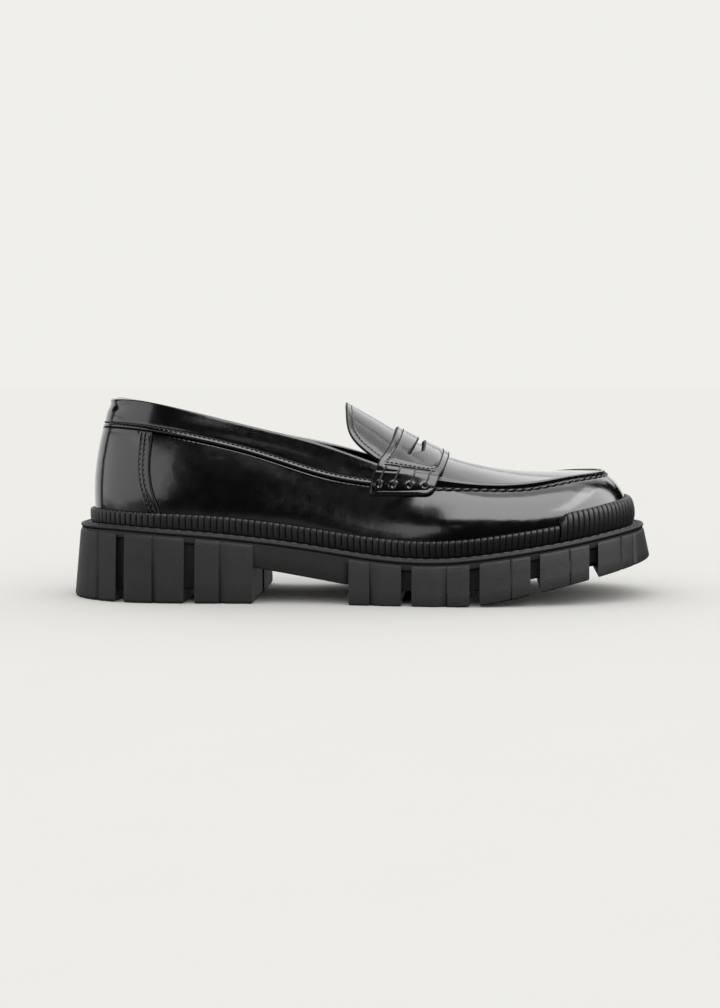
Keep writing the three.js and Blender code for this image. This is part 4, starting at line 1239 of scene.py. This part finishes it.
def saddle_surface():
    """The saddle's length across the shoe and its width, what lays flat points on its surface, and
    what finds the flat point that lies at x, y of its top."""
    grid = saddle_frame(460, 64)
    rows, columns = grid.shape[:2]
    normals = normals_of(grid)
    normals *= np.sign(normals[rows // 2, columns // 2, 2])
    long = np.mean([lengths(grid[:, k])[-1] for k in range(0, columns, 8)])
    wide = lengths(grid[0])[-1]
    ends = 60  # rows at each end that lie on the sides, where x, y don't tell points apart

    def sample(array, flat):
        i = np.clip(flat[:, 0] / long * (rows - 1), -3, rows + 2)
        j = np.clip(flat[:, 1] / wide * (columns - 1), -3, columns + 2)
        i0 = np.clip(np.floor(i).astype(int), 0, rows - 2)
        j0 = np.clip(np.floor(j).astype(int), 0, columns - 2)
        fi, fj = (i - i0)[:, None], (j - j0)[:, None]
        return (
            array[i0, j0] * (1 - fi) * (1 - fj)
            + array[i0 + 1, j0] * fi * (1 - fj)
            + array[i0, j0 + 1] * (1 - fi) * fj
            + array[i0 + 1, j0 + 1] * fi * fj
        )

    def place(flat):
        return sample(grid, flat), unit(sample(normals, flat))

    def flatten(x, y):
        over = grid[ends:-ends]
        found = np.argmin((over[..., 0] - x) ** 2 + (over[..., 1] - y) ** 2)
        i, j = np.unravel_index(found, over.shape[:2])
        return (i + ends) * long / (rows - 1), j * wide / (columns - 1)

    return long, wide, place, flatten


def saddle_relief(flat, long, wide, panel, holes):
    """How far the saddle's face is pushed up or down: the raised upper panel and the groove of its
    stitches, a crease and two grooves across each end, and the lacing's holes."""
    from_end = np.minimum(flat[:, 0], long - flat[:, 0])
    push = -0.32 * bell(distance_to(flat, panel), 0, 0.45)
    push += np.where(within(flat, panel), 0.28 * smooth(0.4, 2.5, distance_to(flat, panel)), 0)
    clear = smooth(2.2, 3.0, np.minimum(flat[:, 1], wide - flat[:, 1]))
    push += -0.35 * clear * bell(from_end, PANEL_EDGE, 0.6)
    push += -0.25 * bell(from_end, 11.0, 0.28)
    push += -0.3 * clear * bell(from_end, 2.0, 0.35)
    for a, b in holes:
        inwards = 1.0 if a < long / 2 else -1.0
        far = np.hypot(flat[:, 0] - a - inwards, flat[:, 1] - b)
        push += -0.9 * bell(far, 0, 0.75) + 0.18 * bell(far, 1.5, 0.5)
    return push


def saddle_lacing(name, holes, inwards, place):
    """The long whip stitches at one end of the saddle, one from each hole."""
    threads = []
    t = np.linspace(0, 1, 40)
    dive = 0.75 * (bell(t, 0, 0.05) + bell(t, 1, 0.05))
    for a, b in holes:
        points, directions = place(np.stack([a + inwards * (0.9 + 9.4 * t), b + 0.4 * t], 1))
        threads.append((points + directions * (SADDLE_THICK + 0.34 - dive)[:, None], directions))
    lace(f"saddle_lacing_{name}_thread", threads, 0.46, CORD_MAT, [f"saddle_lacing_{name}"])


def saddle():
    """The strap over the instep with its penny slot, its top stitching and its lacing."""
    long, wide, place, flatten = saddle_surface()
    corners = [flatten(x, SADDLE_MIDDLE + y) for x, y in SLOT]
    corners += [flatten(x, SADDLE_MIDDLE - y) for x, y in SLOT[-2:0:-1]]
    slot_loop = rounded(corners, [4, 4, 4, 3, 0.8, 0.8, 4, 4, 4, 0.8, 0.8, 3, 4, 4])
    outline = rounded([(0, 0), (0, wide), (long, wide), (long, 0)], [1.0, 3.4, 3.4, 1.0])
    end, side = 15.2, 2.8  # how far inside the saddle the upper panel's stitching runs
    far_end, far_side = long - end, wide - side
    panel_corners = [(end, side), (end, far_side), (far_end, far_side), (far_end, side)]
    panel = rounded(panel_corners, [0.8, 4.5, 4.5, 0.8])
    lateral_holes = [(3.4, wide * f) for f in (0.12, 0.35, 0.61, 0.85)]
    medial_holes = [(long - a, b) for a, b in lateral_holes]
    relief = lambda flat: saddle_relief(flat, long, wide, panel, lateral_holes + medial_holes)
    plate("saddle_strap_leather", [outline, slot_loop], 0.5, place, relief, SADDLE_THICK,
          LEATHER_MAT, ["saddle_strap"])

    path, up = place(np.concatenate([panel, panel[:1]]))
    thread = stitch_parts(path + up * (SADDLE_THICK - 0.2), up, *SADDLE_STITCH)
    stitches("saddle_stitches", [thread], THREAD_MAT)
    across = np.linspace(2.4, wide - 2.4, 90)
    edges = []
    for along in (PANEL_EDGE, long - PANEL_EDGE):
        points, directions = place(np.stack([np.full(len(across), along), across], 1))
        edges.append((points + directions * (SADDLE_THICK - 0.15), directions))
    lace("saddle_panel_edges", edges, 0.36, EDGE_MAT)
    saddle_lacing("lateral", lateral_holes, 1, place)
    saddle_lacing("medial", medial_holes, -1, place)


def lace(name, threads, radius, material, replaces=()):
    """Round threads, each along its own path, as one piece."""
    points, faces = [], []
    sides = 10
    angle = np.arange(sides) * 2 * math.pi / sides
    for path, up in threads:
        forward = unit(np.gradient(path, axis=0))
        across = np.cross(forward, unit(up))
        normal = np.cross(across, forward)
        taper = radius * np.sqrt(np.clip(1 - np.linspace(-1, 1, len(path)) ** 16, 0.05, 1))
        ring = (
            path[:, None]
            + across[:, None] * (taper[:, None] * np.cos(angle))[..., None]
            + normal[:, None] * (taper[:, None] * np.sin(angle))[..., None]
        )
        faces += tube_faces(len(path), sides, sides * sum(map(len, points)))
        points.append(ring)
    piece = make(name, np.concatenate(points), faces, material, replaces)
    face_out(piece)


# ------------------------------------------------------------------ the sole


def rib_columns(line, pitch):
    """Places for ribs with narrow grooves between them along a row of points: fractional indexes,
    how deep each lies in a groove, from 0 to 1, and how far along it is."""
    total = lengths(line)[-1]
    count = int(round(total / pitch))
    inside = np.array([0, 0.05, 0.1, 0.16, 0.3, 0.5, 0.7, 0.84, 0.9, 0.95])
    depth = np.array([1, 0.85, 0.3, 0.05, 0, 0, 0, 0.05, 0.3, 0.85])
    positions = (np.arange(count)[:, None] + inside[None]).ravel() * total / count
    positions = np.append(positions, total)
    return paced(line, positions), np.append(np.tile(depth, count), 1.0), positions


def ribbed(name, first, last, tall, end_drop, thick, clear, replaces):
    """A ribbed rubber strip on the wall's foot, between two places round the shoe. end_drop is the
    share of its height that it loses at its ends, and clear its distance from the wall."""
    u_line = np.linspace(first, last, 4000)
    line = wall_aside(u_line, 0.15, clear(u_line) + thick)
    index, depth, along = rib_columns(line, RIB_PITCH)
    u = pick(u_line, index)
    off = clear(u)
    back, face = (ledge(wall_aside(u, 0, out)[:, 0]) for out in (off, off + thick))
    foot = np.maximum(back, face) + 0.05
    from_end = np.minimum(along, along[-1] - along)
    height = tall(wall(u, 0)[:, 0]) * (1 - end_drop * bell(from_end, 0, 2.4))
    # The section: up the outer face, round the top, and down the back.
    rise = np.array([0, 0.12, 0.3, 0.5, 0.7, 0.82, 0.9, 0.96, 0.99, 1.0, 0.99, 0.96, 0.8, 0.4, 0.0])
    reach = np.array([1.0, 1.04, 1.05, 1.03, 0.99, 0.95, 0.88, 0.76, 0.62, 0.45, 0.28, 0.1, 0.02, 0.0, 0.0])
    groove = np.array([0.2, 0.9, 1, 1, 1, 1, 1, 0.95, 0.8, 0.5, 0.1, 0, 0, 0, 0])
    z = foot[:, None] + height[:, None] * rise[None]
    out = off[:, None] + thick * reach[None] - RIB_GROOVE * depth[:, None] * groove[None]
    z -= 0.35 * depth[:, None] * bell(rise, 0.99, 0.08)[None]
    places = wall_aside(u[:, None], v_at(u[:, None], z), out)
    places[..., 2] = z
    sweep(name, places, RIB_MAT, replaces)


def rand_and_bumper():
    """The ribbed strip round the upper's foot, and the taller one round the toe."""
    rand_tall = lambda x: RAND_HEIGHT + (RAND_HEEL_HEIGHT - RAND_HEIGHT) * smooth(-60, -120, x)
    over_heel = lambda u: 0.1 + 1.35 * smooth(-92, -100, feather(u)[0][..., 0])
    first, last = round_range(BUMPER_X - 0.3, BUMPER_X - 0.3, 0.0)
    ribbed("rand_rubber", first, last, rand_tall, 0, RAND_THICK, over_heel, ["rand"])
    even_tall = lambda x: np.full(np.shape(x), BUMPER_HEIGHT)
    even_clear = lambda u: np.full(np.shape(u), 0.1)
    ribbed("toe_bumper_rubber", side_u(BUMPER_X, -1), side_u(BUMPER_X, 1), even_tall, 0.28,
           BUMPER_THICK, even_clear, ["toe_bumper"])


def welt():
    """The ledge on the sole: a stitched groove, a slit and a bead along its outer edge."""
    u = np.linspace(0, 1, 900, endpoint=False)
    bead = [(7.95 + 0.85 * math.cos(a), -1.2 + 0.85 * math.sin(a)) for a in np.linspace(2.4, -1.3, 11)]
    section = [(-5.0, 0.0), (4.7, 0.0), (4.95, -0.1), (5.1, -0.45), (6.3, -0.45), (6.45, -0.1), (6.6, 0.0),
               (6.95, -0.02), (7.1, -0.3), (7.2, -0.7), *bead, (7.6, -2.4), (-5.0, -2.4)]
    off, drop = np.array(section).T
    plan = plan_at(*np.broadcast_arrays(u[:, None], off[None]))
    z = ledge(plan[..., 0]) + drop[None]
    places = np.concatenate([plan, z[..., None]], -1)
    sweep("welt_rubber", places, RUBBER_MAT, ["welt"], closed=True)
    u = np.linspace(0, 1, 1500)
    plan = plan_at(u, np.full(len(u), STITCH_OUT))
    path = np.concatenate([plan, (ledge(plan[:, 0]) - 0.38)[:, None]], 1)
    up = np.tile([0.0, 0, 1], (len(u), 1))
    thread = stitch_parts(path, up, *WELT_STITCH)
    stitches("welt_stitches", [thread], THREAD_MAT, ["welt_thread"])


def side_plane(x, turn):
    """A channel's upright plane, as its point on the middle line and its normal."""
    angle = math.radians(turn)
    return np.array([x, 0.0]), np.array([math.cos(angle), math.sin(angle)])


def crossing(side, off, plane):
    """The u at which the feather line moved out by off crosses a plane on one side."""
    u = half_round(side, 800)
    place, normal = plane
    return float(np.interp(0, (plan_at(u, np.full(len(u), off)) - place) @ normal, u))


def lug_out(share):
    """How far outside the feather line a lug's wall is, from its foot (0) to its head (1)."""
    return LUG_FOOT_OUT + (LUG_HEAD_OUT - LUG_FOOT_OUT) * share


def lug_levels():
    """The levels of a lug: share of its height, and how far it is drawn in to round its edges."""
    return [(0.0, 1.0), (0.008, 0.5), (0.025, 0.15), (0.05, 0.0), (0.35, 0.0), (0.65, 0.0), (0.93, 0.0),
            (0.97, 0.12), (0.99, 0.4), (1.0, 0.9)]


def cut_depth(x, share):
    """How deep the lugs' side cuts are at x, at a share of the lug's height."""
    depth = np.zeros_like(x)
    for middle, width, deep, sharp in SIDE_CUTS:
        t = (x - middle) / width + 0.5
        inside = (t > 0) & (t < 1)
        if sharp == 0:
            shape = np.sin(np.pi * np.clip(t, 0, 1))
        else:
            shape = (1 - t if sharp < 0 else t) * (1.25 - share)
        depth += np.where(inside, deep * shape, 0)
    return depth


def lug_ends(side, planes, off):
    """The u at both ends of a lug whose wall lies off outside the feather line."""
    back, front = planes
    if side:
        return crossing(side, off, back), crossing(side, off, front)
    if back is None:
        return crossing(1, off, front) - 1, crossing(-1, off, front)
    return crossing(-1, off, back), crossing(1, off, back)


def lug_ring(side, planes, share, inset, u_shares):
    """One level of a lug's outline, as plan points and heights."""
    off = lug_out(share) - inset
    first, last = lug_ends(side, planes, off)
    shift = inset / (abs(last - first) * 700)
    u = first + (last - first) * (shift + (1 - 2 * shift) * u_shares)
    x = plan_at(u, np.full(len(u), off))[:, 0]
    cut = cut_depth(x, share) * (share < 0.995)
    outline = plan_at(u, off - cut)
    if side:
        y = side * (SPINE_HALF + inset)
        for (place, normal), sign in zip(planes[::-1], (-1, 1)):
            place = place + normal * sign * inset
            corner = place[0] - (y - place[1]) * normal[1] / normal[0], y
            outline = np.concatenate([outline, [corner]])
    x = outline[:, 0]
    foot, head = ground(x), ledge(x) - LUG_HEAD_DROP
    return np.concatenate([outline, (foot + (head - foot) * share)[:, None]], 1)


def lug(side, planes):
    """A tread block, from the ground to just under the ledge. side is 0 for the blocks that wrap
    round the heel's back and the toe's tip, which have one plane."""
    off = lug_out(0.5)
    line = plan_at(np.linspace(*lug_ends(side, planes, off), 600), np.full(600, off))
    total = lengths(line)[-1]
    shares = list(np.linspace(0, 1, int(total / 1.2)))
    edges = [middle + sign * width / 2 for middle, width, _, _ in SIDE_CUTS for sign in (-1, 1)]
    for start, end in ((0, 600),) if side else ((0, 300), (300, 600)):
        x = line[start:end, 0]
        order = np.argsort(x)
        for edge in edges:
            if x.min() < edge < x.max():
                at = np.interp(edge, x[order], order + start) / 599
                shares += [at - 0.12 / total, at + 0.12 / total]
    shares = np.unique(np.clip(shares, 0, 1))
    rings = np.array([lug_ring(side, planes, share, inset, shares) for share, inset in lug_levels()])
    return rings.reshape(-1, 3), tube_faces(*rings.shape[:2])


def bridge(planes):
    """A block that closes a channel at the middle of the sole."""
    plan = []
    for (place, normal), out in zip(planes, (-0.5, 0.5)):
        for y in (-BRIDGE_HALF, BRIDGE_HALF):
            plan.append((place[0] + out - (y - place[1]) * normal[1] / normal[0], y))
    ring = np.array([plan[k] for k in (0, 2, 3, 1)])
    x = ring[:, 0]
    levels = [np.column_stack([ring, z]) for z in (ground(x) + 1.2, core_floor(x) + 2)]
    faces = [[3, 2, 1, 0], [4, 5, 6, 7]] + [[i, (i + 1) % 4, (i + 1) % 4 + 4, i + 4] for i in range(4)]
    return np.concatenate(levels), faces


def core_floor(x):
    """Height of the underside between the lugs, and of the waist."""
    heel_x, at_heel, at_forepart = -58, 18.2, 9.2
    waist = at_heel + (at_forepart - at_heel) * (x - heel_x) / (FOREPART_X - heel_x)
    forepart = np.maximum(ground(x) + NOTCH_DEPTH, NOTCH_DEPTH)
    return np.where(x < -56, NOTCH_DEPTH, np.where(x > FOREPART_X + 1, forepart, waist))


def sole_core():
    """The sole's body behind and above the lugs, with its head ring under the welt."""
    count = 720
    u = np.arange(count) / count
    x_mid = plan_at(u, np.full(count, CORE_OUT))[:, 0]
    waist = smooth(-62, -54, x_mid) * (1 - smooth(-8, -2, x_mid))
    rings = []
    for rise, out in [(0, -0.9), (0.25, -0.25), (0.9, 0.0)]:
        plan = plan_at(u, CORE_OUT + out + (SOLE_WAIST_OUT - CORE_OUT) * waist)
        rings.append(np.column_stack([plan, core_floor(plan[:, 0]) + rise]))
    for drop, out in [(-7.0, -2.3), (-6.2, -2.0), (-5.5, -0.5), (-5.2, -0.1), (-4.9, 0.0), (-2.5, 0.0)]:
        plan = plan_at(u, HEAD_OUT + out + (SOLE_WAIST_OUT - HEAD_OUT - out) * waist)
        floor = core_floor(plan[:, 0]) + 1.0 + 0.1 * (drop + 7.5)
        rings.append(np.column_stack([plan, np.maximum(ledge(plan[:, 0]) + drop, floor)]))
    faces = ring_faces(len(rings), count).tolist()
    top = (len(rings) - 1) * count
    for k in range(count // 2):
        ladder = list(dict.fromkeys([k, k + 1, (count - k - 1) % count, (count - k) % count]))
        faces += [ladder[::-1], [top + v for v in ladder]]
    return np.concatenate(rings), faces


def outsole():
    """The unit sole: its body, and the lugs joined to it."""
    breast = side_plane(HEEL_BREAST_X, BREAST_TURN)
    front = side_plane(FOREPART_X, 0)
    gaps = []
    for x, width in NOTCHES:
        gaps.append((side_plane(x - width / 2, CHANNEL_TURN), side_plane(x + width / 2, CHANNEL_TURN)))
    spans = [(gaps[0][1], gaps[1][0]), (gaps[1][1], breast), (front, gaps[2][0])]
    spans += [(gaps[k][1], gaps[k + 1][0]) for k in (2, 3, 4)]
    parts = [lug(side, span) for span in spans for side in (-1, 1)]
    parts += [lug(0, (None, gaps[0][0])), lug(0, (gaps[5][1], None)), bridge(gaps[5])]
    points, faces = [], []
    for part_points, part_faces in parts:
        start = sum(map(len, points))
        faces += [[v + start for v in face] for face in part_faces]
        points.append(part_points)
    blocks = make("lugs", np.concatenate(points), faces, RUBBER_MAT)
    face_out(blocks)
    core_points, core_faces = sole_core()
    sole = make("outsole_rubber", core_points, core_faces, RUBBER_MAT, ["outsole"])
    face_out(sole)
    union = sole.modifiers.new("union", "BOOLEAN")
    union.operation = "UNION"
    union.solver = "MANIFOLD"
    union.object = blocks
    bpy.context.view_layer.update()
    joined = bpy.data.meshes.new_from_object(sole.evaluated_get(bpy.context.evaluated_depsgraph_get()))
    sole.modifiers.clear()
    sole.data = joined
    bpy.data.objects.remove(blocks)
    joined.shade_smooth()
    joined.set_sharp_from_angle(angle=math.radians(32))


def hidden_pieces():
    """The CAD pieces inside the shoe keep their solids and take their slots' materials."""
    slots = {part["node"]: part["material_slot"] for part in frame["record"]["subparts"]}
    for name, node in frame["nodes"].items():
        if node.hide_render:
            continue
        node.data.materials.clear()
        node.data.materials.append(HIDDEN[slots[name]])


# ------------------------------------------------------------------ stage, camera, lights


def floor_material():
    """The matte pale floor."""
    material, nodes, links, shader = new_material("pale_floor")
    links.new(tint(nodes, links, noise(nodes, links, 40.0, 3.0), (0.97, 0.97, 0.97), (0.985, 0.985, 0.985)),
              shader.inputs["Base Color"])
    shader.inputs["Roughness"].default_value = 1.0
    shader.inputs["Specular IOR Level"].default_value = 0.0
    return material


def stage():
    """A wide pale floor, and a world that lights it but isn't mirrored in the leather."""
    mesh = bpy.data.meshes.new("floor")
    half = 40.0
    corners = [(-half, -half, 0), (half, -half, 0), (half, half, 0), (-half, half, 0)]
    mesh.from_pydata(corners, [], [(0, 1, 2, 3)])
    mesh.materials.append(floor_material())
    floor = bpy.data.objects.new("floor", mesh)
    bpy.context.scene.collection.objects.link(floor)
    floor.visible_glossy = False
    world = bpy.data.worlds.new("studio")
    world.use_nodes = True
    world.node_tree.nodes["Background"].inputs["Color"].default_value = (0.875, 0.867, 0.831, 1)
    world.node_tree.nodes["Background"].inputs["Strength"].default_value = 1.0
    world.cycles_visibility.glossy = False
    bpy.context.scene.world = world


def panel(name, middle, along, facing, size, radiance):
    """A rectangular light that is seen only in reflections. along is the direction of its width."""
    light = bpy.data.lights.new(name, "AREA")
    light.shape = "RECTANGLE"
    light.size, light.size_y = size
    light.energy = radiance * math.pi * size[0] * size[1]
    lamp = bpy.data.objects.new(name, light)
    bpy.context.scene.collection.objects.link(lamp)
    z = -Vector(facing).normalized()
    y = z.cross(Vector(along)).normalized()
    x = y.cross(z)
    turn = Matrix((x, y, z)).transposed().to_4x4()
    lamp.matrix_world = Matrix.Translation(Vector(middle)) @ turn
    lamp.visible_diffuse = False
    lamp.visible_camera = False


def upright_panel(name, azimuths, elevations, radiance, far):
    """A panel that stands upright, from one azimuth to another and between two elevations.
    Azimuth 0 is in front of the shoe's lateral side, and 90 beyond its toe."""
    middle = math.radians(sum(azimuths) / 2)
    wide = 2 * far * math.tan(math.radians(azimuths[1] - azimuths[0]) / 2)
    low, high = (far * math.tan(math.radians(e)) for e in elevations)
    outward = Vector((math.sin(middle), -math.cos(middle), 0))
    place = outward * far + Vector((0, 0, 0.06 + (low + high) / 2))
    panel(name, place, (math.cos(middle), math.sin(middle), 0), -outward, (wide, high - low), radiance)


def camera():
    """The photograph's camera: a long lens, a little above the shoe, on its lateral side."""
    data = bpy.data.cameras.new("camera")
    data.sensor_width = 36.0
    data.lens = CAMERA_LENS
    cam = bpy.data.objects.new("camera", data)
    bpy.context.scene.collection.objects.link(cam)
    place = np.add(CENTRE_SHIFT, (0, -CAMERA_BACK, CAMERA_HEIGHT))
    cam.location = place * 0.001
    cam.rotation_euler = (math.radians(90 - CAMERA_DOWN), 0, 0)
    bpy.context.scene.camera = cam


def lights():
    """A light tent over the forepart, open on the heel's side, with a softbox there and one behind."""
    left, right, front, middle, back = -0.2, 1.5, -0.9, 0.0, 0.6
    low, high = 0.5, 1.5
    bright = 5.3
    panel("tent_front", ((left + right) / 2, front, (low + high) / 2), (1, 0, 0), (0, 1, 0),
          (right - left, high - low), bright)
    panel("tent_roof", ((left + right) / 2, (front + middle) / 2, high), (1, 0, 0), (0, 0, -1),
          (right - left, middle - front), bright)
    panel("tent_roof_back", ((left + right) / 2, (middle + back) / 2, high), (1, 0, 0), (0, 0, -1),
          (right - left, back - middle), 1.8)
    panel("tent_side", (right, (front + back) / 2, (low + high) / 2), (0, 1, 0), (-1, 0, 0),
          (back - front, high - low), bright)
    panel("tent_lamp", (0.85, -0.24, 0.84), (0, 1.05, 0.3), (-0.8, 0.24, -0.78), (1.0, 0.26), 3.4)
    upright_panel("heel_softbox", (-108, -16.5), (0, 17), 1.7, 2.0)
    upright_panel("heel_softbox_low", (-108, -20), (-8, 0), 1.7, 2.0)
    upright_panel("heel_softbox_top", (-108, -42), (17, 45), 1.7, 2.0)
    upright_panel("heel_strip", (-9.3, -5), (10.3, 13.5), 1.1, 2.0)
    upright_panel("back_low", (150, 242), (-10, 22), 1.15, 3.0)
    upright_panel("back_high", (140, 220), (22, 68.5), 2.0, 3.0)
    upright_panel("back_edge", (128, 140), (33, 68.5), 1.1, 3.0)
    panel("table_glow", (-0.29, -0.145, 0.001), (1, 0, 0), (0, 0, 1), (0.54, 0.11), 0.35)


side_panel()
heel_overlay()
collar_band()
moc_ridge()
apron()
tongue()
linings()
sock_liner()
saddle()
rand_and_bumper()
welt()
outsole()
hidden_pieces()
stage()
camera()
lights()
bpy.context.scene.view_settings.view_transform = "Standard"
